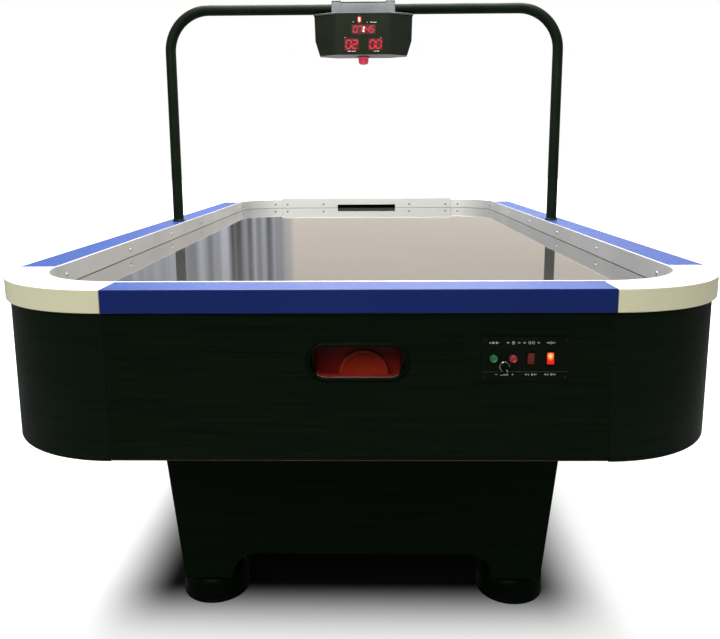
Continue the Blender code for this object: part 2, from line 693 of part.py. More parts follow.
def build_puck_returns():
    def facing_plate(outline, thickness, near):
        """A plate facing the front, whose face nearest the front is at the given Y."""
        return plate_mesh(outline, thickness), (0, near + thickness / 2, 0)

    flange_half_x = BEZEL_WIDTH / 2
    flange_half_z = BEZEL_HEIGHT / 2
    flange = rounded_rectangle(flange_half_x, flange_half_z, flange_half_z - GAP)
    mesh, place = facing_plate(flange, BEZEL_PROUD, -PANEL_FACE_Y - GAP - BEZEL_PROUD)
    place = (0, place[1], POCKET_Z)
    bezel = add_part("front_puck_bezel", mesh, "black_plastic", place, FACING_FRONT)
    round_edges(bezel, BEZEL_PROUD / 3)
    sleeve_half_x = POCKET_WIDTH / 2 + SLEEVE_WALL
    sleeve_half_z = POCKET_HEIGHT / 2 + SLEEVE_WALL
    sleeve = rounded_rectangle(sleeve_half_x, sleeve_half_z, sleeve_half_z - GAP)
    sleeve_near = -PANEL_FACE_Y - BEZEL_PROUD / 2
    mesh, place = facing_plate(sleeve, PANEL_THICKNESS, sleeve_near)
    join(bezel, add_tool("bezel_sleeve", mesh, (0, place[1], POCKET_Z), FACING_FRONT))
    pocket_half_z = POCKET_HEIGHT / 2
    pocket = rounded_rectangle(POCKET_WIDTH / 2, pocket_half_z, pocket_half_z - GAP)
    mesh, place = facing_plate(pocket, 3 * PANEL_THICKNESS, -PANEL_FACE_Y - PANEL_THICKNESS)
    cut(bezel, add_tool("bezel_opening_cutter", mesh, (0, place[1], POCKET_Z), FACING_FRONT))

    mesh, place = facing_plate(tray_outline(TRAY_WALL), TRAY_DEPTH, -TRAY_FACE_Y)
    tray = add_part("front_return_tray", mesh, "red_tray", place, FACING_FRONT)
    mesh, place = facing_plate(tray_outline(TRAY_FLANGE), TRAY_WALL, -TRAY_FACE_Y)
    flange_tool = add_tool("tray_flange", mesh, place, FACING_FRONT)
    above = add_box_tool(
        "tray_flange_top_cutter",
        (-2 * TRAY_HALF_MOUTH, -TRAY_FACE_Y - OVERSHOOT, TRAY_TOP),
        (2 * TRAY_HALF_MOUTH, -TRAY_FACE_Y + OVERSHOOT, TRAY_TOP + 2 * OVERSHOOT),
    )
    join(tray, flange_tool)
    cut(tray, above)
    hollow_depth = TRAY_DEPTH - TRAY_WALL + OVERSHOOT
    mesh, place = facing_plate(tray_outline(0.0, OVERSHOOT), hollow_depth, -TRAY_FACE_Y - OVERSHOOT)
    cut(tray, add_tool("tray_hollow_cutter", mesh, place, FACING_FRONT))
    refresh()
    add_half_turn_copy(bezel, "rear_puck_bezel")
    add_half_turn_copy(tray, "rear_return_tray")


def build_puck():
    """The puck's parent empty is on the line that it tips about, at its lowest edge."""
    half = PUCK_THICKNESS / 2
    profile = [
        (0.0, half),
        (PUCK_RADIUS - 0.0015, half),
        (PUCK_RADIUS, half - 0.0015),
        (PUCK_RADIUS, 0.0015 - half),
        (PUCK_RADIUS - 0.0015, -half),
        (0.0, -half),
    ]
    pivot = bpy.data.objects.new("puck_pivot", None)
    pivot.location = (PUCK_PIVOT_X, -PANEL_BACK_Y + PUCK_PIVOT_SETBACK, PUCK_PIVOT_Z)
    pivot.rotation_euler = (-PUCK_LEAN, 0, 0)
    PARTS.objects.link(pivot)
    place = (0, 0, PUCK_RADIUS)
    puck = add_turned("puck", profile, "red_puck", place, FACING_FRONT, steps=32)
    puck.parent = pivot


# Controls

def control_place(at, outward=0.0):
    """A point on the control plate's face, moved outward from it."""
    return (at[0], -PLATE_FACE_Y - outward, at[1])


def build_control_plate():
    low = (PLATE_X - PLATE_WIDTH / 2, -PLATE_FACE_Y, PLATE_Z - PLATE_HEIGHT / 2)
    high = (PLATE_X + PLATE_WIDTH / 2, -PLATE_FACE_Y + PLATE_THICKNESS, PLATE_Z + PLATE_HEIGHT / 2)
    plate = add_box("control_plate", low, high, "black_plastic")
    through = PLATE_THICKNESS + 2 * OVERSHOOT
    round_holes = (
        ("start", START_AT, BUTTON_RADIUS),
        ("minutes", MINUTES_AT, BUTTON_RADIUS),
        ("knob", KNOB_AT, KNOB_SHAFT_RADIUS),
    )
    for name, at, radius in round_holes:
        hole = cylinder_mesh(radius + CONTROL_CLEARANCE, through, segments=20)
        cut(plate, add_tool(f"{name}_hole_cutter", hole, control_place(at), FACING_FRONT))
    for name, at in (("scoreboard_switch", SCOREBOARD_SWITCH_AT), ("main_switch", MAIN_SWITCH_AT)):
        hole = box_mesh(
            ROCKER_WIDTH + 2 * CONTROL_CLEARANCE, through, 2 * (ROCKER_RADIUS + CONTROL_CLEARANCE)
        )
        cut(plate, add_tool(f"{name}_hole_cutter", hole, control_place(at)))


def build_buttons():
    profile = [
        (0.0, 0.0050),
        (BUTTON_RADIUS - 0.0022, 0.0046),
        (BUTTON_RADIUS - 0.0004, 0.0036),
        (BUTTON_RADIUS, 0.0024),
        (BUTTON_RADIUS, -0.0110),
        (0.0, -0.0110),
    ]
    add_turned("start_button", profile, "green_button", control_place(START_AT), FACING_FRONT)
    add_turned("minutes_button", profile, "red_button", control_place(MINUTES_AT), FACING_FRONT)


def build_knob():
    profile = [
        (0.0, 0.0125),
        (KNOB_RADIUS - 0.0022, 0.0125),
        (KNOB_RADIUS - 0.0012, 0.0115),
        (KNOB_RADIUS, 0.0030),
        (KNOB_RADIUS, 0.0006),
        (KNOB_SHAFT_RADIUS, 0.0006),
        (KNOB_SHAFT_RADIUS, -0.0140),
        (0.0, -0.0140),
    ]
    knob = add_turned("volume_knob", profile, "black_plastic", control_place(KNOB_AT), FACING_FRONT)
    pointer_angle = math.radians(-60)
    reach = KNOB_RADIUS * 0.75
    groove = box_mesh(KNOB_RADIUS, 0.0012, 0.0012)
    place = control_place(KNOB_AT, 0.0125)
    place = (place[0] + reach * math.cos(pointer_angle), place[1], place[2] + reach * math.sin(pointer_angle))
    cut(knob, add_tool("knob_pointer_cutter", groove, place, (0, -pointer_angle, 0)))


def build_switches():
    """Each rocker turns about its origin. A positive tilt swings its upper end outward."""
    front_edge = ROCKER_RADIUS * 0.30
    middle = ROCKER_RADIUS * 0.16
    outline = [(front_edge, -ROCKER_RADIUS), (middle, 0.0), (front_edge, ROCKER_RADIUS)]
    outline += arc((0, 0), ROCKER_RADIUS, 90, 270, 12)
    mesh = plate_mesh(outline, ROCKER_WIDTH)
    rockers = (
        ("main_switch", MAIN_SWITCH_AT, -ROCKER_TILT, "lit_rocker"),
        ("scoreboard_switch", SCOREBOARD_SWITCH_AT, ROCKER_TILT, "dark_red_rocker"),
    )
    facing_front = Matrix(((0, 0, -1, 0), (-1, 0, 0, 0), (0, 1, 0, 0), (0, 0, 0, 1)))
    for name, at, tilt, look in rockers:
        rocker = add_part(name, mesh.copy(), look)
        place = Matrix.Translation(control_place(at, -ROCKER_SETBACK))
        rocker.matrix_world = place @ Matrix.Rotation(tilt, 4, "X") @ facing_front


# Blower and power supply

def scroll_outline(inset):
    """The blower's spiral case with its outlet neck, seen along the X axis, shrunk by inset."""
    points = []
    steps = 18
    for i in range(steps + 1):
        share = i / steps
        angle = math.radians(75 + 285 * share)
        radius = SCROLL_START + (SCROLL_END - SCROLL_START) * share - inset
        points.append((radius * math.cos(angle), radius * math.sin(angle)))
    neck_top = PLENUM_BOTTOM - GAP - BLOWER_Z + (2 * OVERSHOOT if inset else 0.0)
    neck_inner = SCROLL_END - DUCT_Y + inset
    tongue_y = (SCROLL_START - inset) * math.sin(math.radians(75))
    points += [(SCROLL_END - inset, neck_top), (neck_inner, neck_top), (neck_inner, tongue_y)]
    return points


def build_blower():
    facing_x = (math.pi / 2, 0.0, math.pi / 2)
    case = plate_mesh(scroll_outline(0.0), BLOWER_WIDTH)
    housing = add_part("blower_housing", case, "zinc_plate", (0, 0, BLOWER_Z), facing_x)
    hollow = plate_mesh(scroll_outline(BLOWER_WALL), BLOWER_WIDTH - 2 * BLOWER_WALL)
    cut(housing, add_tool("blower_hollow_cutter", hollow, (0, 0, BLOWER_Z), facing_x))
    inlet = cylinder_mesh(IMPELLER_RADIUS * 0.8, OVERSHOOT)
    inlet_place = (-BLOWER_WIDTH / 2, 0, BLOWER_Z)
    cut(housing, add_tool("blower_inlet_cutter", inlet, inlet_place, ALONG_X))
    shaft_hole = cylinder_mesh(SHAFT_RADIUS * 2, OVERSHOOT, segments=16)
    shaft_place = (BLOWER_WIDTH / 2, 0, BLOWER_Z)
    cut(housing, add_tool("blower_shaft_cutter", shaft_hole, shaft_place, ALONG_X))

    body = MOTOR_LENGTH
    profile = [
        (0.0, body),
        (MOTOR_RADIUS - 0.004, body),
        (MOTOR_RADIUS, body - 0.004),
        (MOTOR_RADIUS, 0.006),
        (MOTOR_RADIUS + 0.008, 0.006),
        (MOTOR_RADIUS + 0.008, 0.0),
        (SHAFT_RADIUS, 0.0),
        (SHAFT_RADIUS, -BLOWER_WIDTH / 2),
        (0.0, -BLOWER_WIDTH / 2),
    ]
    motor_x = BLOWER_WIDTH / 2 + GAP
    add_turned("blower_motor", profile, "black_plastic", (motor_x, 0, BLOWER_Z), ALONG_X, steps=24)

    build_impeller()


def build_impeller():
    """A squirrel-cage wheel: a back disc and a front ring joined by blades, on a hub."""
    half = IMPELLER_WIDTH / 2
    disc = 0.003
    hub_radius = SHAFT_RADIUS * 2.5
    bore = SHAFT_RADIUS + GAP
    profile = [
        (IMPELLER_RADIUS, half),
        (IMPELLER_RADIUS, half - disc),
        (hub_radius, half - disc),
        (hub_radius, half - 8 * disc),
        (bore, half - 8 * disc),
        (bore, half),
    ]
    place = (0, 0, BLOWER_Z)
    wheel = add_turned("blower_impeller", profile, "zinc_plate", place, ALONG_X, steps=20, ring=True)
    blade = box_mesh(0.009, 0.0016, IMPELLER_WIDTH - disc)
    on_axis = Matrix.Translation(place) @ Matrix.Rotation(math.pi / 2, 4, "Y")
    for i in range(IMPELLER_BLADES):
        turn = Matrix.Rotation(2 * math.pi * i / IMPELLER_BLADES, 4, "Z")
        offset = Matrix.Translation((IMPELLER_RADIUS - 0.0055, 0, -disc / 4))
        pitch = Matrix.Rotation(math.radians(25), 4, "Z")
        tool = add_tool(f"blade_{i:02d}", blade)
        tool.matrix_world = on_axis @ turn @ offset @ pitch
        join(wheel, tool)
    ring_profile = [
        (IMPELLER_RADIUS, disc - half),
        (IMPELLER_RADIUS, -half),
        (IMPELLER_RADIUS - 0.011, -half),
        (IMPELLER_RADIUS - 0.011, disc - half),
    ]
    points = [(radius, 0.0, z) for radius, z in ring_profile]
    mesh = bpy.data.meshes.new("front_ring")
    mesh.from_pydata(points, [(0, 1), (1, 2), (2, 3), (3, 0)], [])
    ring = add_tool("impeller_front_ring", mesh, place, ALONG_X)
    turn_profile(ring, 20)
    join(wheel, ring)


def build_power_supply():
    low = (0.300, -1.050, BOTTOM_BOARD_TOP + GAP)
    high = (0.460, -0.950, BOTTOM_BOARD_TOP + GAP + 0.050)
    supply = add_box("power_supply", low, high, "zinc_plate")
    round_edges(supply, 0.0015)
    for i in range(5):
        y = low[1] + 0.022 + 0.014 * i
        slot_low = (low[0] + 0.030, y - 0.002, high[2] - 0.003)
        slot_high = (high[0] - 0.030, y + 0.002, high[2] + OVERSHOOT)
        cut(supply, add_box_tool(f"supply_slot_cutter_{i}", slot_low, slot_high))


# Overhead arch and scoreboard

def post_path(start_z, end_x):
    """Up the post, round the bend and in to the joint with the crossbar, on the left side."""
    bend = [
        (-POST_X + BEND_RADIUS + x, 0.0, BAR_Z - BEND_RADIUS + z)
        for x, z in arc((0, 0), BEND_RADIUS, 180, 90, 8)
    ]
    return [(-POST_X, 0.0, start_z)] + bend + [(end_x, 0.0, BAR_Z)]


def build_arch():
    bottom = POST_SOCKET_FLOOR + GAP
    post_mesh = rod_mesh(post_path(bottom, -BAR_JOINT_X - GAP), TUBE_RADIUS)
    post = add_part("left_post", post_mesh, "black_tube")
    collar = cylinder_mesh(COLLAR_RADIUS, COLLAR_HEIGHT)
    collar_z = RAIL_TOP + GAP + COLLAR_HEIGHT / 2
    join(post, add_tool("post_collar", collar, (-POST_X, 0, collar_z)))
    bore = rod_mesh(post_path(bottom - OVERSHOOT, -BAR_JOINT_X + OVERSHOOT), TUBE_RADIUS - TUBE_WALL)
    cut(post, add_tool("post_bore_cutter", bore))
    refresh()
    add_half_turn_copy(post, "right_post")

    end = BAR_JOINT_X + SPIGOT_LENGTH
    inside = SPIGOT_RADIUS - TUBE_WALL
    profile = [
        (SPIGOT_RADIUS, end),
        (SPIGOT_RADIUS, BAR_JOINT_X),
        (TUBE_RADIUS, BAR_JOINT_X),
        (TUBE_RADIUS, -BAR_JOINT_X),
        (SPIGOT_RADIUS, -BAR_JOINT_X),
        (SPIGOT_RADIUS, -end),
        (inside, -end),
        (inside, end),
    ]
    add_turned("crossbar", profile, "black_tube", (0, 0, BAR_Z), ALONG_X, steps=20, ring=True)


def build_clamp():
    """The saddle hangs over the crossbar, open below, with a thicker collar at each end."""
    bottom = BOARD_TOP + GAP
    half_depth = CLAMP_HALF_DEPTH
    collar_half = CLAMP_COLLAR_LENGTH / 2

    def section(extra):
        outline = arc((0, 0), half_depth + extra, 0, 180, 10)
        return [(half_depth + extra, bottom - BAR_Z)] + outline + [(-half_depth - extra, bottom - BAR_Z)]

    facing_x = (math.pi / 2, 0.0, math.pi / 2)
    middle = plate_mesh(section(0.0), 2 * (CLAMP_HALF_LENGTH - collar_half))
    clamp = add_part("scoreboard_clamp", middle, "silver_cast", (0, 0, BAR_Z), facing_x)
    for side in (-1, 1):
        collar = plate_mesh(section(CLAMP_COLLAR_EXTRA), CLAMP_COLLAR_LENGTH)
        place = (side * (CLAMP_HALF_LENGTH - collar_half), 0, BAR_Z)
        join(clamp, add_tool(f"clamp_collar_{side}", collar, place, facing_x))
    channel_low = (-CLAMP_HALF_LENGTH - OVERSHOOT, -CLAMP_CHANNEL_HALF_Y, bottom - OVERSHOOT)
    channel_high = (CLAMP_HALF_LENGTH + OVERSHOOT, CLAMP_CHANNEL_HALF_Y, BAR_Z)
    cut(clamp, add_box_tool("clamp_channel_cutter", channel_low, channel_high))
    bore = cylinder_mesh(TUBE_RADIUS + GAP, 2 * CLAMP_HALF_LENGTH + OVERSHOOT, segments=32)
    cut(clamp, add_tool("clamp_bore_cutter", bore, (0, 0, BAR_Z), ALONG_X))


def shell_section(half_width, z):
    """The front half of the scoreboard's plan at one height, from the left end to the right end."""
    split = -GAP / 2
    return [
        (-half_width, split, z),
        (-half_width, -BOARD_END_HALF_DEPTH, z),
        (-BOARD_FOLD_X, -BOARD_HALF_DEPTH, z),
        (BOARD_FOLD_X, -BOARD_HALF_DEPTH, z),
        (half_width, -BOARD_END_HALF_DEPTH, z),
        (half_width, split, z),
    ]


def build_scoreboard():
    levels = (
        (BOARD_HALF_TOP, BOARD_TOP),
        (BOARD_HALF_KINK, BOARD_KINK),
        (BOARD_HALF_BOTTOM, BOARD_BOTTOM),
    )
    sections = [shell_section(half_width, z) for half_width, z in levels]
    count = len(sections[0])
    points = [point for section in sections for point in section]
    faces = [tuple(range(count)), tuple(reversed(range(2 * count, 3 * count)))]
    for level in range(len(sections) - 1):
        for i in range(count - 1):
            a = level * count + i
            faces.append((a, a + count, a + count + 1, a + 1))
    mesh = bpy.data.meshes.new("scoreboard_shell")
    mesh.from_pydata(points, [], faces)
    shell = add_part("scoreboard_front_shell", mesh, "black_plastic")
    solidify = shell.modifiers.new("Wall", "SOLIDIFY")
    solidify.thickness = SHELL_WALL
    solidify.offset = -1.0
    solidify.use_even_offset = True
    refresh()
    add_half_turn_copy(shell, "scoreboard_rear_shell")

    half_x = BOARD_HALF_BOTTOM - 2 * SHELL_WALL
    half_y = CIRCUIT_THICKNESS / 2
    circuit_low = (-half_x, -half_y, BOARD_BOTTOM + SHELL_WALL + GAP)
    circuit_high = (half_x, half_y, BOARD_TOP - 2 * SHELL_WALL)
    add_box("scoreboard_circuit", circuit_low, circuit_high, "circuit_board")

    profile = [
        (0.0, 0.0),
        (BEACON_RADIUS, 0.0),
        (BEACON_RADIUS, -0.0035),
        (BEACON_RADIUS - 0.0015, -0.0040),
        (BEACON_RADIUS - 0.0045, -BEACON_LENGTH + 0.0045),
        (BEACON_RADIUS - 0.0075, -BEACON_LENGTH),
        (0.0, -BEACON_LENGTH),
    ]
    add_turned("beacon_lens", profile, "red_lens", (0, 0, BOARD_BOTTOM - GAP), steps=16)


build_rails()
build_walls()
build_field()
build_plenum()
build_cabinet()
build_pedestals()
build_feet()
build_puck_returns()
build_puck()
build_control_plate()
build_buttons()
build_knob()
build_switches()
build_blower()
build_power_supply()
build_arch()
build_clamp()
build_scoreboard()
refresh()
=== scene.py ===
"""The looks of an air hockey table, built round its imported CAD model.

Units are metres, +Z is up, and the front of the table, where the controls are, faces -Y.
"""

import json
import math

import bmesh
import bpy
from mathutils import Matrix, Vector


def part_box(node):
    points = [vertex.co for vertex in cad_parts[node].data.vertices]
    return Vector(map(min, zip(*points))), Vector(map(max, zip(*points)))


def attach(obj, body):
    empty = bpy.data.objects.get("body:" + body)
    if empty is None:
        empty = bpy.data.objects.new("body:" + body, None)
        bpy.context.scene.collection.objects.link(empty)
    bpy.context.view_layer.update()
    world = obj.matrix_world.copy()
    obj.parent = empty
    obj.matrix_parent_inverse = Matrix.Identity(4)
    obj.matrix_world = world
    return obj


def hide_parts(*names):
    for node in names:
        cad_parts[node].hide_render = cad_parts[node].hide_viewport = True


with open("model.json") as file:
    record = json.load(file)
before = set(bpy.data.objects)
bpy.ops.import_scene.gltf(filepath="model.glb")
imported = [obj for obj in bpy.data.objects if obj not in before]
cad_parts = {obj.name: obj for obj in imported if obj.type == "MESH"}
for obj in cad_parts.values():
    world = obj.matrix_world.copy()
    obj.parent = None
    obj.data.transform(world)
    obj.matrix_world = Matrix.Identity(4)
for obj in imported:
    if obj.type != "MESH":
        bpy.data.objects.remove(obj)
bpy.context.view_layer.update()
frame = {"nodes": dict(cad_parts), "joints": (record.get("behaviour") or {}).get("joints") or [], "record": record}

NODES = frame["nodes"]
TABLE = "table"
BODY_OF = {node: body for body, nodes in frame["record"]["behaviour"]["bodies"].items() for node in nodes}
SLOT_OF = {row["node"]: row["material_slot"] for row in frame["record"]["subparts"]}

CORNERS = (("rear_right", 1, 1), ("rear_left", -1, 1), ("front_left", -1, -1), ("front_right", 1, -1))
CORNER_STEPS = 40
WALL_SCREW_Z = 0.7775
POCKET_HALF_LENGTH = 0.051
POST_COLLAR_RADIUS = 0.019
PLATE_FACE_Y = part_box("control_plate")[0].y
PANEL_FACE_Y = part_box("front_panel")[0].y
RAIL_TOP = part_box("front_rail")[1].z
POCKET_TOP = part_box("front_puck_bezel")[1].z - 0.006
BAR_Z = sum(corner.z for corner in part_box("crossbar")) / 2
TUBE_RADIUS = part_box("crossbar")[1].z - BAR_Z

WHITE = (1.0, 1.0, 1.0)
UPRIGHT = Matrix.Identity(4)
FACING_FRONT = Matrix.Rotation(math.pi / 2, 4, "X")
FACING_SIDE = Matrix(((0, 0, 1, 0), (1, 0, 0, 0), (0, 1, 0, 0), (0, 0, 0, 1)))
HALF_TURN = Matrix.Rotation(math.pi, 4, "Z")
ENDS = (("front", UPRIGHT), ("rear", HALF_TURN))


# Shader nodes

class Nodes:
    """Short names for the shader nodes of the materials and the world."""

    def __init__(self, tree):
        self.tree = tree

    def add(self, kind, inputs=None, **settings):
        """Adds a node, sets or links its inputs, and gives its outputs."""
        node = self.tree.nodes.new(kind)
        for key, value in settings.items():
            setattr(node, key, value)
        for key, value in (inputs or {}).items():
            self.feed(node.inputs[key], value)
        return node.outputs

    def feed(self, socket, value):
        if isinstance(value, bpy.types.NodeSocket):
            self.tree.links.new(value, socket)
        elif socket.type == "RGBA":
            socket.default_value = (*value, 1.0)
        else:
            socket.default_value = value

    def fit(self, value, from_low, from_high, to_low=0.0, to_high=1.0, interpolation="LINEAR"):
        inputs = {"Value": value, "From Min": from_low, "From Max": from_high, "To Min": to_low}
        inputs["To Max"] = to_high
        return self.add("ShaderNodeMapRange", inputs, interpolation_type=interpolation)["Result"]

    def math(self, operation, first, second=0.0):
        return self.add("ShaderNodeMath", {0: first, 1: second}, operation=operation)["Value"]

    def plus(self, first, second):
        return self.math("ADD", first, second)

    def minus(self, first, second):
        return self.math("SUBTRACT", first, second)

    def times(self, first, second):
        return self.math("MULTIPLY", first, second)

    def size_of(self, value):
        return self.math("ABSOLUTE", value)

    def distance(self, across, along):
        return self.math("SQRT", self.plus(self.times(across, across), self.times(along, along)))

    def mix(self, factor, first, second):
        return self.add("ShaderNodeMix", {0: factor, 6: first, 7: second}, data_type="RGBA")[2]

    def parts_of(self, vector):
        """The X, Y and Z parts of a vector."""
        return self.add("ShaderNodeSeparateXYZ", {"Vector": vector})

    def camera_ray(self):
        return self.add("ShaderNodeLightPath")["Is Camera Ray"]


class Finish(Nodes):
    """Builds one procedural material from a few node helpers."""

    def __init__(self):
        self.material = bpy.data.materials.new("finish")
        self.material.use_nodes = True
        super().__init__(self.material.node_tree)
        self.shader = self.tree.nodes["Principled BSDF"]
        self.coords = self.add("ShaderNodeTexCoord")["Object"]
        self.height = None

    def set(self, **inputs):
        for name, value in inputs.items():
            self.feed(self.shader.inputs[name.replace("_", " ")], value)

    def noise(self, scale, detail=3.0, stretch=(1, 1, 1), distortion=0.0):
        vector = self.add("ShaderNodeMapping", {"Vector": self.coords, "Scale": stretch})["Vector"]
        inputs = {"Vector": vector, "Scale": scale, "Detail": detail, "Distortion": distortion}
        return self.add("ShaderNodeTexNoise", inputs)["Fac"]

    def patches(self, low, high, *noise):
        """A mask that is 0 where the noise is low and 1 where it is high."""
        return self.fit(self.noise(*noise), low, high)

    def uneven(self, low, high, *noise):
        """A value that wanders between two limits."""
        return self.fit(self.noise(*noise), 0.3, 0.7, low, high)

    def cloudy(self, first, second, *noise):
        return self.mix(self.patches(0.35, 0.65, *noise), first, second)

    def rub(self, tone, wear, share, width, patches):
        """The tone with patches of wear along its edges."""
        return self.mix(self.times(self.times(self.edges(width), patches), share), tone, wear)

    def cells(self, scale):
        return self.add("ShaderNodeTexVoronoi", {"Vector": self.coords, "Scale": scale})["Distance"]

    def surface(self, kind):
        """The surface's Normal or Position in the world."""
        return self.add("ShaderNodeNewGeometry")[kind]

    def edges(self, radius):
        """A mask of the convex and concave edges, about as wide as radius."""
        softened = self.add("ShaderNodeBevel", {"Radius": radius}, samples=4)["Normal"]
        both = {0: softened, 1: self.surface("Normal")}
        return self.fit(self.add("ShaderNodeVectorMath", both, operation="DOT_PRODUCT")["Value"], 0.995, 0.8)

    def upward(self, low=0.35, high=0.9):
        """A mask of the faces that look up."""
        return self.fit(self.parts_of(self.surface("Normal"))["Z"], low, high)

    def painted_pocket_shade(self):
        """A mask for painted shade in a puck pocket, near its upper edge and its ends, where little light falls.
        """
        x, y, z = self.parts_of(self.surface("Position"))
        inside = self.fit(self.size_of(y), 0.001 - PANEL_FACE_Y, -PANEL_FACE_Y)
        high = self.fit(z, POCKET_TOP - 0.036, POCKET_TOP - 0.002, 0.0, 0.92)
        end = self.fit(self.size_of(x), 0.0695, 0.0712)
        return self.times(inside, self.math("MAXIMUM", high, end))

    def bump(self, height, distance):
        under = {"Normal": self.height} if self.height else {}
        self.height = self.add("ShaderNodeBump", {"Height": height, "Distance": distance, **under})["Normal"]
        self.set(Normal=self.height)


# Materials

def laminate(colour, other, top, roughness, specular, wear):
    """A melamine face: a fine pebbled skin, cloudy tone, a top painted paler for the light that falls on it from
    above, dust and rubbed edges.
    """
    finish = Finish()
    # painted light: faces that look up take the paler top colour
    tone = finish.mix(finish.upward(), finish.cloudy(colour, other, 3.0, 4.0), top)
    scuffs = finish.patches(0.62, 0.8, 26.0, 6.0, (1, 1, 3), 1.5)
    tone = finish.rub(tone, wear, 0.35, 0.0016, finish.patches(0.42, 0.62, 40.0, 4.0))
    finish.set(Base_Color=tone, Specular_IOR_Level=specular)
    worn = finish.uneven(roughness - 0.06, roughness + 0.08, 7.0, 5.0)
    finish.set(Roughness=finish.plus(worn, finish.times(scuffs, 0.1)))
    finish.bump(finish.cells(900.0), 0.00006)
    finish.bump(finish.noise(160.0), 0.00012)
    return finish.material


def wood_print(colour, other, roughness, specular, wear):
    """A black laminate with a faint pressed wood grain that runs along the panels."""
    finish = Finish()
    grain = finish.noise(14.0, 8.0, (0.35, 0.35, 14.0), 0.8)
    pores = finish.patches(0.55, 0.7, 60.0, 4.0, (0.25, 0.25, 12.0))
    tone = finish.mix(finish.fit(grain, 0.35, 0.65), colour, other)
    tone = finish.rub(tone, wear, 0.3, 0.0016, finish.patches(0.45, 0.62, 30.0, 4.0))
    finish.set(Base_Color=tone, Specular_IOR_Level=specular)
    smudges = finish.uneven(roughness - 0.05, roughness + 0.1, 5.0, 5.0)
    finish.set(Roughness=finish.plus(smudges, finish.times(pores, 0.08)))
    finish.bump(finish.minus(1.0, pores), 0.00008)
    finish.bump(grain, 0.00012)
    return finish.material


def brushed(colour, other, roughness, metallic, stretch=(6.0, 6.0, 900.0), ends=None):
    """Brushed metal: fine scratches along the piece, handling marks, grime at the edges and, when ends is given,
    painted light that makes the faces looking to the front or back brighter.
    """
    finish = Finish()
    lines = finish.noise(1.0, 6.0, stretch)
    marks = finish.patches(0.58, 0.72, 35.0, 6.0, (1, 1, 1), 2.0)
    tone = finish.cloudy(colour, other, 4.0)
    if ends:
        # painted light: faces that look to the front or back take the brighter ends colour
        across = finish.size_of(finish.parts_of(finish.surface("Normal"))["Y"])
        tone = finish.mix(finish.fit(across, 0.45, 1.0), tone, ends)
    grime = finish.times(finish.edges(0.001), 0.25)
    tone = finish.mix(grime, tone, (0.16, 0.16, 0.15))
    finish.set(Base_Color=tone, Metallic=metallic)
    spread = finish.fit(lines, 0.3, 0.7, roughness - 0.07, roughness + 0.07)
    finish.set(Roughness=finish.plus(spread, finish.times(marks, 0.08)))
    finish.bump(lines, 0.00003)
    return finish.material


def moulded(colour, other, roughness, specular, relief=0.00005, grain=420.0, metallic=0.0,
            painted_shoulder=None, belly=None, pocket_shade=False):
    """Moulded plastic or powder coat: orange peel, a fine grain and paler rubbed edges. The shoulder
    is a colour painted on upper rounded edges for how light falls there, the belly is that of the
    underside, and pocket shade paints shade inside a puck pocket."""
    finish = Finish()
    tone = finish.cloudy(colour, other, 12.0, 4.0)
    lighter = tuple(min(1.0, 2.2 * channel + 0.02) for channel in other)
    tone = finish.rub(tone, lighter, 0.4, 0.0012, finish.patches(0.45, 0.65, 70.0))
    if painted_shoulder:
        # painted light: upper rounded edges take the shoulder colour, a painted highlight or painted shade by the
        # colour given
        edge = finish.times(finish.upward(0.2, 0.45), finish.upward(0.98, 0.9))
        tone = finish.mix(edge, tone, painted_shoulder)
    if belly:
        tone = finish.mix(finish.upward(-0.6, -0.9), tone, belly)
    if pocket_shade:
        # painted shade near the upper edge and ends of a puck pocket
        tone = finish.mix(finish.painted_pocket_shade(), tone, (0.008, 0.004, 0.003))
    finish.set(Base_Color=tone, Specular_IOR_Level=specular, Metallic=metallic)
    finish.set(Roughness=finish.uneven(roughness - 0.05, roughness + 0.08, 20.0, 5.0))
    finish.bump(finish.noise(grain, 2.0), relief)
    return finish.material


def playfield_finish(pitch=0.0254, hole_radius=0.0008):
    """Polished board with a square grid of air holes and light wear where the puck runs."""
    finish = Finish()
    x, y, _ = finish.parts_of(finish.coords)

    def from_grid(axis):
        return finish.math("PINGPONG", finish.plus(axis, pitch * 200), pitch / 2)

    distance = finish.distance(from_grid(x), from_grid(y))
    hole = finish.fit(distance, hole_radius * 1.25, hole_radius * 0.85)
    tone = finish.cloudy((0.046, 0.044, 0.041), (0.056, 0.053, 0.049), 2.2, 4.0)
    speckle = finish.patches(0.6, 0.75, 700.0, 2.0)
    tone = finish.mix(finish.times(speckle, 0.12), tone, (0.03, 0.028, 0.026))
    scratches = finish.patches(0.68, 0.74, 9.0, 8.0, (1.0, 9.0, 1.0), 3.0)
    crossing = finish.patches(0.68, 0.74, 8.0, 8.0, (8.0, 1.0, 1.0), 3.0)
    scratches = finish.math("MAXIMUM", scratches, crossing)
    tone = finish.mix(finish.times(scratches, 0.1), tone, (0.24, 0.22, 0.2))
    tone = finish.mix(hole, tone, (0.02, 0.018, 0.016))
    finish.set(Base_Color=tone, Coat_Weight=0.55, Coat_Roughness=0.012)
    rough = finish.plus(finish.uneven(0.025, 0.06, 3.0, 5.0), finish.times(scratches, 0.15))
    finish.set(Roughness=finish.plus(rough, finish.times(hole, 0.6)))
    finish.bump(finish.minus(1.0, hole), 0.0004)
    return finish.material


def raw_board_finish():
    """Bare fibreboard with pressed fibres and dusty patches."""
    finish = Finish()
    fibres = finish.noise(240.0, 6.0, (1, 1, 2.5), 1.0)
    tone = finish.mix(finish.fit(fibres, 0.35, 0.65), (0.21, 0.135, 0.075), (0.36, 0.25, 0.15))
    stains = finish.patches(0.55, 0.75, 5.0, 5.0)
    tone = finish.mix(finish.times(stains, 0.4), tone, (0.14, 0.09, 0.05))
    finish.set(Base_Color=tone, Specular_IOR_Level=0.15, Roughness=finish.fit(fibres, 0.3, 0.7, 0.75, 0.95))
    finish.bump(fibres, 0.00025)
    return finish.material


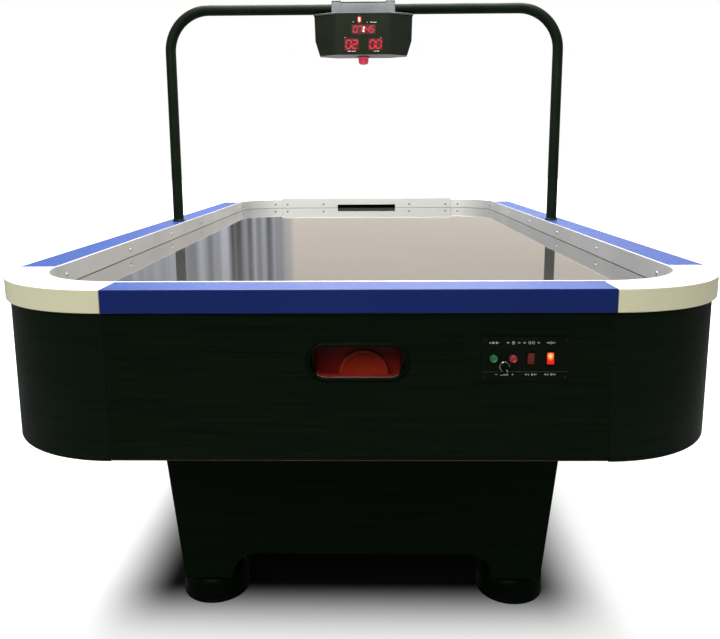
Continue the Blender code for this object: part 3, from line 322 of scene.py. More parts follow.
def glowing(colour, strength, body=(0.25, 0.01, 0.01)):
    """A lit plastic or LED surface with an uneven glow."""
    finish = Finish()
    glow = finish.uneven(0.65, 1.0, 380.0, 2.0)
    finish.set(Base_Color=body, Emission_Color=finish.mix(glow, tuple(c * 0.4 for c in colour), colour))
    finish.set(Emission_Strength=finish.times(glow, strength), Roughness=finish.uneven(0.18, 0.3, 90.0))
    return finish.material


def lit_rocker_finish():
    """A rocker lit by a lamp behind its upper half, hot in the middle and deep red at its ends."""
    finish = Finish()
    x, _, z = finish.parts_of(finish.coords)
    low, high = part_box("main_switch")
    half_height = (high.z - low.z) / 2
    lamp_z = low.z + 1.42 * half_height
    along = finish.times(finish.minus(z, lamp_z), 0.75)
    distance = finish.distance(finish.minus(x, (low.x + high.x) / 2), along)
    near = finish.fit(distance, half_height * 0.66, 0.0)
    heat = finish.times(near, finish.uneven(0.75, 1.1, 520.0, 2.0))
    colour = finish.mix(heat, (1.0, 0.012, 0.006), (1.0, 0.4, 0.07))
    finish.set(Base_Color=(0.35, 0.01, 0.01), Emission_Color=colour, Roughness=0.22)
    finish.set(Emission_Strength=finish.fit(heat, 0.0, 1.0, 0.5, 3.4))
    finish.bump(finish.noise(600.0, 2.0), 0.00003)
    return finish.material


def beacon_finish():
    """Translucent lens plastic with a glow that gathers in its middle."""
    finish = Finish()
    facing = finish.add("ShaderNodeLayerWeight", {"Blend": 0.45})["Facing"]
    glow = finish.mix(facing, (1.0, 0.06, 0.12), (0.45, 0.01, 0.03))
    finish.set(Base_Color=(0.3, 0.012, 0.032), Emission_Color=glow, Coat_Weight=0.5, Coat_Roughness=0.05)
    finish.set(Emission_Strength=finish.times(finish.uneven(0.75, 1.15, 160.0), 0.5))
    finish.set(Roughness=finish.uneven(0.1, 0.22, 90.0))
    return finish.material


def puck_finish():
    """Red puck plastic with curved scuffs, chalky edge wear and painted shade where it lies under the pocket's
    upper edge.
    """
    finish = Finish()
    scuffs = finish.patches(0.6, 0.7, 45.0, 8.0, (1, 1, 1), 4.0)
    tone = finish.cloudy((0.35, 0.023, 0.0065), (0.41, 0.029, 0.0095), 30.0, 4.0)
    worn = finish.math("MAXIMUM", finish.times(finish.edges(0.002), 0.25), scuffs)
    tone = finish.mix(finish.times(worn, 0.35), tone, (0.4, 0.075, 0.055))
    # painted shade on the puck near the pocket's upper edge
    tone = finish.mix(finish.painted_pocket_shade(), tone, (0.012, 0.006, 0.005))
    finish.set(Base_Color=tone, Specular_IOR_Level=0.18, Roughness=finish.plus(0.3, finish.times(worn, 0.25)))
    finish.bump(scuffs, 0.00004)
    return finish.material


FINISH = {
    # The third colour of each laminate is its top, painted paler as painted light from above.
    "blue_laminate": laminate(
        (0.0045, 0.0175, 0.125), (0.0065, 0.0215, 0.145), (0.014, 0.042, 0.185), 0.36, 0.165, (0.1, 0.15, 0.4)
    ),
    "white_laminate": laminate(
        (0.735, 0.706, 0.468), (0.775, 0.755, 0.535), (0.88, 0.87, 0.82), 0.34, 0.3, (0.56, 0.52, 0.4)
    ),
    "black_laminate": wood_print(
        (0.0022, 0.0056, 0.0022), (0.0038, 0.0086, 0.0036), 0.5, 0.03, (0.045, 0.06, 0.045)
    ),
    "corner_laminate": wood_print(
        (0.0026, 0.0062, 0.0026), (0.0044, 0.0092, 0.0046), 0.48, 0.035, (0.05, 0.064, 0.05)
    ),
    "panel_core": moulded((0.03, 0.026, 0.016), (0.052, 0.044, 0.028), 0.8, 0.05, 0.0002),
    "raw_board": raw_board_finish(),
    "playfield": playfield_finish(),
    # The ends colour is painted light on the aluminium faces that look to the front or back.
    "aluminium": brushed((0.46, 0.46, 0.45), (0.53, 0.53, 0.52), 0.4, 0.55, ends=(0.74, 0.75, 0.7)),
    "zinc_plate": brushed((0.5, 0.51, 0.53), (0.58, 0.58, 0.56), 0.36, 1.0, (120.0,) * 3),
    "chrome_ring": brushed((0.78, 0.78, 0.78), (0.86, 0.86, 0.86), 0.16, 1.0, (200.0,) * 3),
    "screw_steel": brushed((0.5, 0.5, 0.49), (0.64, 0.64, 0.62), 0.3, 1.0, (300.0,) * 3),
    # A darker copy of the screw steel, painted shade for the screws of the goal plates and corner walls.
    "wall_screw": brushed((0.125, 0.125, 0.12), (0.185, 0.185, 0.18), 0.34, 0.8, (300.0,) * 3),
    "dark_screw": moulded((0.004, 0.0044, 0.004), (0.007, 0.0074, 0.007), 0.4, 0.12),
    "black_plastic": moulded((0.0014, 0.0034, 0.0012), (0.0026, 0.0052, 0.0022), 0.34, 0.035),
    "plate_black": moulded((0.003, 0.0054, 0.0026), (0.0044, 0.0074, 0.0038), 0.42, 0.045),
    "motor_black": moulded((0.012, 0.012, 0.012), (0.02, 0.02, 0.02), 0.38, 0.4),
    "black_tube": moulded((0.0044, 0.0084, 0.004), (0.0066, 0.0118, 0.006), 0.4, 0.08, 0.0001, 900.0),
    # The last colour is painted shade on the clamp's upper rounded edges.
    "silver_cast": moulded(
        (0.17, 0.175, 0.186), (0.215, 0.22, 0.234), 0.42, 0.25, 0.00006, 600.0, 0.3, (0.03, 0.032, 0.034)
    ),
    # The shoulder is a painted highlight on the board's upper rounded lip.
    "scoreboard_plastic": moulded(
        (0.0088, 0.0128, 0.0072), (0.0124, 0.017, 0.0104), 0.42, 0.12, 0.00012, 700.0,
        painted_shoulder=(0.07, 0.078, 0.064), belly=(0.46, 0.41, 0.415),
    ),
    "circuit_board": moulded((0.008, 0.08, 0.03), (0.012, 0.11, 0.045), 0.4, 0.4),
    # pocket shade: painted shade on the tray near the pocket's upper edge and at its ends
    "red_tray": moulded((0.25, 0.016, 0.012), (0.31, 0.021, 0.016), 0.36, 0.12, pocket_shade=True),
    "red_puck": puck_finish(),
    "red_lens": beacon_finish(),
    "green_button": moulded((0.006, 0.15, 0.04), (0.01, 0.19, 0.055), 0.24, 0.5),
    "red_button": moulded((0.3, 0.012, 0.02), (0.36, 0.018, 0.03), 0.24, 0.5),
    "dark_red_rocker": moulded((0.11, 0.01, 0.006), (0.15, 0.016, 0.01), 0.26, 0.22),
    "lit_rocker": lit_rocker_finish(),
    "legend_ink": moulded((0.6, 0.62, 0.55), (0.7, 0.72, 0.65), 0.5, 0.3),
    "label_ink": moulded((0.72, 0.74, 0.68), (0.82, 0.84, 0.78), 0.5, 0.3),
    "faint_ink": moulded((0.05, 0.054, 0.04), (0.095, 0.1, 0.075), 0.5, 0.2),
    # a painted highlight for the bead on the bezel's lower lip
    "lip_highlight": moulded((0.085, 0.078, 0.06), (0.125, 0.114, 0.09), 0.45, 0.3),
    "smoked_window": moulded((0.01, 0.014, 0.0062), (0.013, 0.0175, 0.0084), 0.3, 0.1, 0.00002),
    "red_filter": glowing((0.7, 0.004, 0.016), 0.12, (0.014, 0.002, 0.002)),
    "led_segment": glowing((1.0, 0.007, 0.05), 0.9),
    "led_dark": glowing((0.8, 0.004, 0.02), 0.1, (0.05, 0.002, 0.002)),
    "led_hot": glowing((1.0, 0.55, 0.5), 2.6),
    "led_halo": glowing((1.0, 0.006, 0.02), 0.38, (0.1, 0.002, 0.002)),
}
for slot, material in FINISH.items():
    material.name = f"{slot}_finish"


# Meshes

def mesh_of(bm):
    mesh = bpy.data.meshes.new("shape")
    bmesh.ops.recalc_face_normals(bm, faces=bm.faces)
    bm.to_mesh(mesh)
    bm.free()
    return mesh


def placed(obj):
    bpy.context.scene.collection.objects.link(obj)
    return obj


def evaluated(obj):
    """The mesh that an object's modifiers give. The object is removed."""
    bpy.context.view_layer.update()
    depsgraph = bpy.context.evaluated_depsgraph_get()
    mesh = bpy.data.meshes.new_from_object(obj.evaluated_get(depsgraph))
    bpy.data.objects.remove(obj, do_unlink=True)
    return mesh


def mesh_of_curve(curve):
    mesh = evaluated(placed(bpy.data.objects.new("curve", curve)))
    bm = bmesh.new()
    bm.from_mesh(mesh)
    bmesh.ops.remove_doubles(bm, verts=bm.verts, dist=0.000005)
    bmesh.ops.dissolve_limit(bm, angle_limit=math.radians(0.3), verts=[], edges=bm.edges)
    return mesh_of(bm)


def add_spline(curve, points, cyclic):
    spline = curve.splines.new("POLY")
    spline.points.add(len(points) - 1)
    for point, position in zip(spline.points, points):
        point.co = (*position, 1.0)
    spline.use_cyclic_u = cyclic


def slab(outlines, low, high, place=UPRIGHT):
    """A plate from flat outlines, the first its edge and the others its holes, between two heights."""
    curve = bpy.data.curves.new("outline", "CURVE")
    curve.dimensions = "2D"
    curve.fill_mode = "BOTH"
    curve.extrude = (high - low) / 2
    for outline in outlines:
        add_spline(curve, [(x, y, 0.0) for x, y in outline], True)
    mesh = mesh_of_curve(curve)
    mesh.transform(place @ Matrix.Translation((0, 0, (low + high) / 2)))
    return mesh


def tube(path, radius, sides=32):
    curve = bpy.data.curves.new("path", "CURVE")
    curve.dimensions = "3D"
    curve.bevel_depth = radius
    curve.bevel_resolution = sides // 2 - 2
    curve.use_fill_caps = True
    add_spline(curve, path, False)
    return mesh_of_curve(curve)


def block(low, high):
    bm = bmesh.new()
    size = Vector(high) - Vector(low)
    centre = (Vector(high) + Vector(low)) / 2
    bmesh.ops.create_cube(bm, size=1.0, matrix=Matrix.Translation(centre) @ Matrix.Diagonal((*size, 1.0)))
    return mesh_of(bm)


def turned(profile, steps=48, place=UPRIGHT, ring=False):
    """A lathe shape about Z from (radius, height) points. A ring's profile closes on itself."""
    bm = bmesh.new()
    verts = [bm.verts.new((radius, 0.0, z)) for radius, z in profile]
    pairs = list(zip(verts, verts[1:])) + ([(verts[-1], verts[0])] if ring else [])
    edges = [bm.edges.new(pair) for pair in pairs]
    bmesh.ops.spin(bm, geom=verts + edges, axis=(0, 0, 1), cent=(0, 0, 0), angle=2 * math.pi, steps=steps)
    bmesh.ops.remove_doubles(bm, verts=bm.verts, dist=0.000002)
    mesh = mesh_of(bm)
    mesh.transform(place)
    return mesh


def loft(loops, closed=False):
    """A solid through loops of equal length. Closed loops of loops make a ring, open ones get caps."""
    bm = bmesh.new()
    rings = [[bm.verts.new(point) for point in loop] for loop in loops]
    pairs = list(zip(rings, rings[1:]))
    if closed:
        pairs.append((rings[-1], rings[0]))
    else:
        bm.faces.new(rings[0])
        bm.faces.new(reversed(rings[-1]))
    for lower, upper in pairs:
        for i in range(len(lower)):
            j = (i + 1) % len(lower)
            bm.faces.new((lower[i], lower[j], upper[j], upper[i]))
    return mesh_of(bm)


def carve(mesh, tool, operation="DIFFERENCE"):
    target = placed(bpy.data.objects.new("target", mesh))
    cutter = placed(bpy.data.objects.new("cutter", tool))
    modifier = target.modifiers.new("carve", "BOOLEAN")
    modifier.operation = operation
    modifier.solver = "EXACT"
    modifier.object = cutter
    result = evaluated(target)
    bpy.data.objects.remove(cutter, do_unlink=True)
    return result


def moved(mesh, matrix):
    copy = mesh.copy()
    copy.transform(matrix)
    return copy


def joined(meshes):
    """One mesh in place of several, which are removed."""
    bm = bmesh.new()
    for mesh in meshes:
        bm.from_mesh(mesh)
        bpy.data.meshes.remove(mesh)
    return mesh_of(bm)


def aimed(position, direction):
    """A placement whose Z axis points along a direction."""
    turn = Vector((0, 0, 1)).rotation_difference(Vector(direction)).to_matrix().to_4x4()
    return Matrix.Translation(position) @ turn


# Outlines

def arc(centre, radius, start, end, steps=10):
    angles = [math.radians(start + (end - start) * i / steps) for i in range(steps + 1)]
    return [(centre[0] + radius * math.cos(a), centre[1] + radius * math.sin(a)) for a in angles]


def circle(centre, radius, steps=32):
    return arc(centre, radius, 0, 360 - 360 / steps, steps - 1)


def rounded_rectangle(centre, half_x, half_y, radius, steps=8):
    outline = []
    for turn, (sign_x, sign_y) in enumerate(((1, 1), (-1, 1), (-1, -1), (1, -1))):
        corner = (centre[0] + sign_x * (half_x - radius), centre[1] + sign_y * (half_y - radius))
        outline += arc(corner, radius, 90 * turn, 90 * turn + 90, steps)
    return outline


def stadium(half_length, radius, steps=20):
    return arc((half_length, 0), radius, -90, 90, steps) + arc((-half_length, 0), radius, 90, 270, steps)


def polar_loop(reaches, z):
    """A closed loop about Z from the points' distances to the axis, in even steps."""
    turns = [(reach, 2 * math.pi * i / len(reaches)) for i, reach in enumerate(reaches)]
    return [(reach * math.cos(angle), reach * math.sin(angle), z) for reach, angle in turns]


# Pieces

def centre_of(node):
    low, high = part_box(node)
    return (low + high) / 2


def half_size_of(node):
    low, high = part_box(node)
    return (high - low) / 2


def pivot_of(name):
    return Vector(next(joint["pos_m"] for joint in frame["joints"] if joint["name"] == name))


def rounded(obj, width, segments):
    bevel = obj.modifiers.new("Rounded edges", "BEVEL")
    bevel.width = width
    bevel.segments = segments
    bevel.limit_method = "ANGLE"
    bevel.angle_limit = math.radians(35)
    bevel.harden_normals = True


def show(name, mesh, finish, node=None, body=TABLE, edge=0.0, segments=3, smooth_angle=35):
    """A finished piece that stands for a CAD node and rides on its body, or rides on the body named."""
    mesh.materials.clear()
    mesh.materials.append(FINISH[finish])
    mesh.shade_smooth()
    obj = placed(bpy.data.objects.new(name, mesh))
    if edge:
        rounded(obj, edge, segments)
    else:
        mesh.set_sharp_from_angle(angle=math.radians(smooth_angle))
    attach(obj, BODY_OF[node] if node else body)
    if node:
        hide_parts(node)


def keep(nodes, edge=0.0):
    """Shows CAD nodes with their own shapes and finished materials, and softens their edges."""
    for node in nodes:
        obj = NODES[node]
        obj.data.materials.clear()
        obj.data.materials.append(FINISH[SLOT_OF[node]])
        if edge:
            obj.modifiers.new("Weld", "WELD").merge_threshold = 0.00001
            rounded(obj, edge, 2)


def keep_plain_nodes():
    keep(("playfield", "plenum_tray", "bottom_board", "power_supply", "blower_housing", "blower_impeller",
          "blower_motor", "scoreboard_circuit", "front_return_tray", "rear_return_tray"))
    keep(("front_rail", "rear_rail", "left_rail", "right_rail"))
    keep(("front_panel", "rear_panel", "left_panel", "right_panel"), 0.0006)
    keep(("front_pedestal", "rear_pedestal"), 0.0012)


# Corners and walls

def build_corners():
    """Quarter rings, from the box of each corner's CAD node and its thickness."""
    for suffix, finish, thickness, edge in (
        ("corner_cap", "white_laminate", 0.07, 0.0022),
        ("corner_panel", "corner_laminate", 0.018, 0.0008),
        ("corner_wall", "aluminium", 0.004, 0.0008),
    ):
        for quarter, (corner, sign_x, sign_y) in enumerate(CORNERS):
            node = f"{corner}_{suffix}"
            low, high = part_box(node)
            outer = (high.x - low.x + high.y - low.y) / 2
            centre = (low.x if sign_x > 0 else high.x, low.y if sign_y > 0 else high.y)
            start = 90 * quarter
            ring = arc(centre, outer, start, start + 90, CORNER_STEPS)
            ring += arc(centre, outer - thickness, start + 90, start, CORNER_STEPS)
            show(f"{node}_shell", slab([ring], low.z, high.z), finish, node, edge=edge)


def build_straight_walls():
    for node in ("left_wall", "right_wall"):
        show(f"{node}_strip", block(*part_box(node)), "aluminium", node, edge=0.0014)
    lip = 0.002
    inner = 0.1385 - lip
    for node in ("front_goal_plate", "rear_goal_plate"):
        low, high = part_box(node)
        slot_top = low.z + 0.0155 - lip
        outline = [(low.x, low.z), (-inner - lip, low.z)]
        outline += arc((-inner, slot_top), lip, 180, 90, 5) + arc((inner, slot_top), lip, 90, 0, 5)
        outline += [(inner + lip, low.z), (high.x, low.z), (high.x, high.z), (low.x, high.z)]
        show(f"{node}_strip", slab([outline], -high.y, -low.y, FACING_FRONT), "aluminium", node, edge=0.0008)


def build_goal_chutes():
    """Black linings of the goal chutes behind the slots."""
    half_x = 0.1418
    top = 0.7791
    wall = 0.0008
    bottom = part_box("front_goal_plate")[0].z + 0.0002
    inner_x = half_x - wall
    hoop = [(-half_x, bottom), (-half_x, top), (half_x, top), (half_x, bottom)]
    hoop += [(inner_x, bottom), (inner_x, top - wall), (-inner_x, top - wall), (-inner_x, bottom)]
    for end, sign in (("front", -1), ("rear", 1)):
        near = sign * 1.16
        far = sign * 1.2137
        low, high = sorted((-near, -far))
        show(f"{end}_goal_chute_lining", slab([hoop], low, high, FACING_FRONT), "black_plastic")
        low, high = sorted((far, far - sign * wall))
        back = block((-inner_x, low, bottom), (inner_x, high, top - wall))
        show(f"{end}_goal_chute_back", back, "black_plastic")


def build_panel_edges():
    """The raw lower edge of each end panel, which shows as a thin pale line."""
    low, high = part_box("front_panel")
    strip = block((low.x + 0.001, low.y - 0.0003, low.z - 0.0004), (high.x - 0.001, high.y, low.z + 0.0009))
    for end, turn in ENDS:
        show(f"{end}_panel_raw_edge", moved(strip, turn), "panel_core")


# Screws

def screw_head(radius, height):
    """A pan head with a cross recess, standing on z = 0 and facing +Z."""
    profile = [(0.0, height)]
    profile += [(radius * math.sin(a), height * math.cos(a) ** 0.6) for a in (0.35, 0.7, 1.0, 1.25, 1.45)]
    head = turned(profile + [(radius, 0.0), (0.0, 0.0)], 24)
    arm = radius * 0.62
    half = radius * 0.13
    for length, width in ((arm, half), (half, arm)):
        head = carve(head, block((-length, -width, height * 0.45), (length, width, height * 2)))
    return head


def show_wall_screws(name, head, places, finish="screw_steel"):
    """A row of screws from their positions and the directions they face, each turned a little further."""
    sink = 0.0002
    heads = [
        moved(head, aimed(Vector(at) - sink * Vector(normal), normal) @ Matrix.Rotation(0.7 * i, 4, "Z"))
        for i, (at, normal) in enumerate(places)
    ]
    show(name, joined(heads), finish)


def build_screws():
    head = screw_head(0.0044, 0.0018)
    for node, normal in (("front_goal_plate", 1), ("rear_goal_plate", -1)):
        low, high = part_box(node)
        face = high.y if normal > 0 else low.y
        places = [((x, face, WALL_SCREW_Z), (0, normal, 0)) for x in (-0.381, -0.207, 0.207, 0.381)]
        # painted shade: these screws take the darker copy of the screw steel
        show_wall_screws(f"{node}_screws", head, places, "wall_screw")
    count = 6
    margin = 0.04
    for node, normal in (("left_wall", 1), ("right_wall", -1)):
        low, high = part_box(node)
        face = high.x if normal > 0 else low.x
        step = (high.y - low.y - 2 * margin) / (count - 1)
        places = [((face, low.y + margin + step * i, WALL_SCREW_Z), (normal, 0, 0)) for i in range(count)]
        show_wall_screws(f"{node}_screws", head, places)
    for corner, sign_x, sign_y in CORNERS:
        low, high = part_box(f"{corner}_corner_wall")
        centre = Vector((low.x if sign_x > 0 else high.x, low.y if sign_y > 0 else high.y, WALL_SCREW_Z))
        places = []
        for angle in (math.radians(11), math.radians(79)):
            outward = Vector((sign_x * math.cos(angle), sign_y * math.sin(angle), 0))
            places.append((centre + (high.x - low.x - 0.004) * outward, -outward))
        # painted shade: these screws take the darker copy of the screw steel
        show_wall_screws(f"{corner}_corner_wall_screws", head, places, "wall_screw")


# Feet

def build_feet():
    radius = half_size_of("front_outer_left_foot").x - 0.0015
    stem_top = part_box("front_outer_left_foot")[1].z
    top = 0.0625
    curve = 0.022
    profile = [(0.0, stem_top), (0.0072, stem_top), (0.008, stem_top - 0.0008), (0.008, top)]
    profile += [(radius - curve - 0.002, top)] + arc((radius - curve, top - curve), curve, 90, 0, 8)
    profile += [
        (radius + out, z)
        for out, z in ((0.0, 0.0125), (-0.001, 0.0118), (-0.001, 0.0098), (0.0005, 0.009), (0.0014, 0.0078),
                       (0.0015, 0.0035), (0.0005, 0.0015), (-0.002, 0.0), (-radius, 0.0))
    ]
    for node in [name for name in NODES if name.endswith("_foot")]:
        centre = centre_of(node)
        place = Matrix.Translation((centre.x, centre.y, 0))
        show(f"{node}_drum", turned(profile, 64, place), "black_plastic", node, smooth_angle=50)


# Puck pocket and puck

def build_pockets():
    centre_z = centre_of("front_puck_bezel").z
    opening = 0.025
    profile = (
        (0.0, -0.016), (0.0, 0.0005), (0.0004, 0.0022), (0.0014, 0.0036), (0.0028, 0.0042), (0.0044, 0.004),
        (0.0062, 0.0031), (0.0076, 0.0017), (0.0083, 0.0003), (0.0017, 0.0003), (0.0017, -0.016),
    )
    loops = [
        [(x, PANEL_FACE_Y - proud, z + centre_z) for x, z in stadium(POCKET_HALF_LENGTH, opening + offset)]
        for offset, proud in profile
    ]
    ring = loft(loops, closed=True)
    for end, turn in ENDS:
        node = f"{end}_puck_bezel"
        show(f"{node}_ring", moved(ring, turn), "black_plastic", node, smooth_angle=50)


def build_pocket_lips():
    """Along the lower edge of each pocket: the red lip of the return tray and a pale bead on the bezel, a painted
    highlight where its lower lip catches the light.
    """
    centre_z = centre_of("front_puck_bezel").z

    def lower_edge(radius, reach):
        path = arc((POCKET_HALF_LENGTH, 0), radius, reach - 90, -90, 8)
        path += arc((-POCKET_HALF_LENGTH, 0), radius, -90, -90 - reach, 8)
        return [(x, z + centre_z) for x, z in path]

    near = PANEL_FACE_Y + 0.0006
    far = PANEL_FACE_Y + 0.0155
    lip = loft([
        [(outer_x, near, outer_z), (outer_x, far, outer_z), (inner_x, far, inner_z), (inner_x, near, inner_z)]
        for (outer_x, outer_z), (inner_x, inner_z) in zip(lower_edge(0.0249, 40), lower_edge(0.0243, 40))
    ])
    # a painted highlight: a pale bead along the bezel's lower inner lip
    bead = tube([(x, PANEL_FACE_Y - 0.0016, z) for x, z in lower_edge(0.0249, 34)], 0.0006, 12)
    for end, turn in ENDS:
        show(f"{end}_tray_lip", moved(lip, turn), "red_tray", smooth_angle=50)
        show(f"{end}_bezel_bead", moved(bead, turn), "lip_highlight", smooth_angle=50)


def build_puck():
    centre = centre_of("puck")
    radius = half_size_of("puck").x
    half = 0.0035
    rim = 0.0055
    edge = 0.0016
    pivot = pivot_of("puck_tip")
    lean = math.atan2(centre.y - pivot.y, centre.z - pivot.z)
    upper = [(0.0, half - 0.0005), (radius - rim, half - 0.0005), (radius - rim + 0.0006, half)]
    upper += [(radius - edge, half)] + arc((radius - edge, half - edge), edge, 70, 0, 4)
    profile = upper + [(r, -z) for r, z in reversed(upper)]
    place = Matrix.Translation(centre) @ Matrix.Rotation(math.pi / 2 - lean, 4, "X")
    show("puck_disc", turned(profile, 96, place), "red_puck", "puck", smooth_angle=40)


# Controls

def build_control_plate():
    low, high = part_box("control_plate")
    centre = ((low.x + high.x) / 2, (low.z + high.z) / 2)
    outlines = [rounded_rectangle(centre, (high.x - low.x) / 2, (high.z - low.z) / 2, 0.004)]
    for node, radius in (("start_button", 0.0067), ("minutes_button", 0.0067), ("volume_knob", 0.0035)):
        at = centre_of(node)
        outlines.append(circle((at.x, at.z), radius))
    for node in ("scoreboard_switch", "main_switch"):
        at = centre_of(node)
        outlines.append(rounded_rectangle((at.x, at.z), 0.006, 0.0097, 0.0008, 3))
    plate = slab(outlines, -high.y, -low.y, FACING_FRONT)
    show("control_plate_sheet", plate, "plate_black", "control_plate", edge=0.0003, segments=2)

    head = screw_head(0.0026, 0.0012)
    inset = 0.006
    heads = [
        moved(head, aimed((x, PLATE_FACE_Y + 0.0001, z), (0, -1, 0)) @ Matrix.Rotation(x * 40 + z, 4, "Z"))
        for x in (low.x + inset, high.x - inset)
        for z in (low.z + inset, high.z - inset)
    ]
    show("control_plate_screws", joined(heads), "dark_screw")


def on_plate(node):
    """A placement on the control plate whose Z axis comes out of the plate through the node's middle."""
    at = centre_of(node)
    return Matrix.Translation((at.x, PLATE_FACE_Y, at.z)) @ FACING_FRONT


def build_buttons():
    inner = 0.0067
    collar = [
        (inner, 0.0), (inner, 0.0012), (inner + 0.0004, 0.0017), (inner + 0.0013, 0.0017),
        (inner + 0.0018, 0.001), (inner + 0.0019, 0.0),
    ]
    for node in ("start_button", "minutes_button"):
        radius = half_size_of(node).x
        cap = [
            (radius * share, height)
            for share, height in ((0.0, 0.0034), (0.45, 0.0036), (0.68, 0.0043), (0.8, 0.0049), (0.9, 0.0049),
                                  (0.97, 0.0044), (1.0, 0.0036), (1.0, -0.0108), (0.0, -0.0108))
        ]
        place = on_plate(node)
        show(f"{node}_cap", turned(cap, 48, place), SLOT_OF[node], node, smooth_angle=60)
        show(f"{node}_collar", turned(collar, 48, place, ring=True), "dark_screw", smooth_angle=60)


def build_knob():
    radius = half_size_of("volume_knob").x
    top = PLATE_FACE_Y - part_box("volume_knob")[0].y
    low = 0.0035
    steps = 24 * 4

    def fluted(scale, height):
        groove = (0.00035, 0.00035, 0.0, 0.0)
        return polar_loop([(radius - 0.0014) * scale - groove[i % 4] for i in range(steps)], height)

    skirt = turned(
        [(0.0, low + 0.0002), (radius - 0.0016, low), (radius - 0.001, 0.0022), (radius - 0.001, 0.0008),
         (0.003, 0.0008), (0.003, -0.0135), (0.0, -0.0135)]
    )
    knob = carve(loft([fluted(1.0, low), fluted(0.98, top - 0.0012), fluted(0.9, top)]), skirt, "UNION")
    pointer_turn = Matrix.Rotation(math.radians(-60), 4, "Z")
    groove = block((radius * 0.3, -0.0005, top - 0.0007), (radius * 1.2, 0.0005, top + 0.002))
    knob = carve(knob, moved(groove, pointer_turn))
    pointer = block((radius * 0.34, -0.00042, top - 0.0009), (radius * 0.86, 0.00042, top - 0.0003))
    ring = [
        (radius - 0.0011, 0.0008), (radius - 0.0011, 0.0026), (radius - 0.0007, 0.003),
        (radius - 0.0003, 0.0029), (radius, 0.0024), (radius, 0.0008),
    ]
    place = on_plate("volume_knob")
    body = BODY_OF["volume_knob"]
    show("volume_knob_grip", moved(knob, place), "black_plastic", "volume_knob", smooth_angle=30)
    show("volume_knob_pointer", moved(pointer, place @ pointer_turn), "legend_ink", body=body)
    show("volume_knob_ring", turned(ring, 64, place, ring=True), "chrome_ring", body=body, smooth_angle=60)


def build_switches():
    radius = 0.0092
    half_width = 0.0055
    crest = 0.00276
    hollow = crest - 0.00147
    face = [(crest - hollow * math.sin(math.pi * t / 16), radius * (t / 8 - 1)) for t in range(1, 16)]
    outline = [(crest, -radius), *face, (crest, radius)] + arc((0, 0), radius, 90, 270, 20)
    turn = Matrix(((0, 0, -1, 0), (-1, 0, 0, 0), (0, 1, 0, 0), (0, 0, 0, 1)))
    rockers = (("main_switch", -8, "lit_rocker"), ("scoreboard_switch", 8, "dark_red_rocker"))
    for node, tilt, finish in rockers:
        pivot = pivot_of(f"{node}_rock")
        place = Matrix.Translation(pivot) @ Matrix.Rotation(math.radians(tilt), 4, "X") @ turn
        rocker = moved(slab([outline], -half_width, half_width), place)
        show(f"{node}_rocker", rocker, finish, node, edge=0.0005, segments=2)
        outer = rounded_rectangle((pivot.x, pivot.z), 0.0076, 0.0118, 0.0016, 4)
        inner = rounded_rectangle((pivot.x, pivot.z), 0.0059, 0.0098, 0.0006, 3)
        lip = slab([outer, inner], -PLATE_FACE_Y, -PLATE_FACE_Y + 0.0014, FACING_FRONT)
        show(f"{node}_frame", lip, "black_plastic", edge=0.0004, segments=2)


def build_legends():
    """Plain marks in place of printed words: symbols over the controls, and plus, minus and on-off signs."""
    ink = 0.00012
    upper = 0.712
    lower = 0.66
    marks = []
    start, minutes, knob, board, main = (
        centre_of(node).x
        for node in ("start_button", "minutes_button", "volume_knob", "scoreboard_switch", "main_switch")
    )

    def bar(x, z, width, height):
        low = (x - width / 2, PLATE_FACE_Y - ink, z - height / 2)
        marks.append(block(low, (x + width / 2, PLATE_FACE_Y, z + height / 2)))

    def patch(outline):
        marks.append(slab([outline], -PLATE_FACE_Y, -PLATE_FACE_Y + ink, FACING_FRONT))

    def ring(x, z, radius, start, end):
        patch(arc((x, z), radius, start, end, 14) + arc((x, z), radius - 0.0006, end, start, 14))

    patch([(start - 0.0022, upper - 0.002), (start + 0.002, upper), (start - 0.0022, upper + 0.002)])
    bar(start + 0.0036, upper, 0.0008, 0.004)
    ring(minutes, upper, 0.0024, 0, 350)
    bar(minutes, upper + 0.0008, 0.0005, 0.0016)
    bar(minutes + 0.0006, upper, 0.0012, 0.0005)
    for side in (-1, 1):
        for edge in (-1, 1):
            bar(board + side * 0.0028, upper + edge * 0.0018, 0.0036, 0.0006)
            bar(board + side * 0.0028 + edge * 0.0015, upper, 0.0006, 0.0042)
    ring(main, upper - 0.0002, 0.0022, 120, 420)
    bar(main, upper + 0.0012, 0.0006, 0.0024)
    bar(knob - 0.0132, lower, 0.0028, 0.0006)
    bar(knob + 0.0132, lower, 0.0028, 0.0006)
    bar(knob + 0.0132, lower, 0.0006, 0.0028)
    for i in range(6):
        bar(knob - 0.0055 + 0.0022 * i, lower - 0.0014 + 0.00025 * i, 0.0009, 0.0008 + 0.0005 * i)
    for x in (board, main):
        bar(x - 0.003, lower, 0.0006, 0.0032)
        ring(x + 0.0026, lower, 0.0016, 0, 350)
    for x, z, reach in ((start, upper, 0.007), (minutes, upper, 0.01), (board, upper, 0.0125),
                        (main, upper, 0.006), (board, lower, 0.0085), (main, lower, 0.0085)):
        for side in (-1, 1):
            for i in range(2):
                bar(x + side * (reach - 0.0021 * i), z, 0.001, 0.0014 + 0.0009 * i)
    show("control_legend_marks", joined(marks), "legend_ink")
    marks.clear()
    bar(centre_of("control_plate").x, 0.6645, 2 * half_size_of("control_plate").x - 0.004, 0.0004)
    show("control_plate_line", joined(marks), "faint_ink")


# Overhead arch

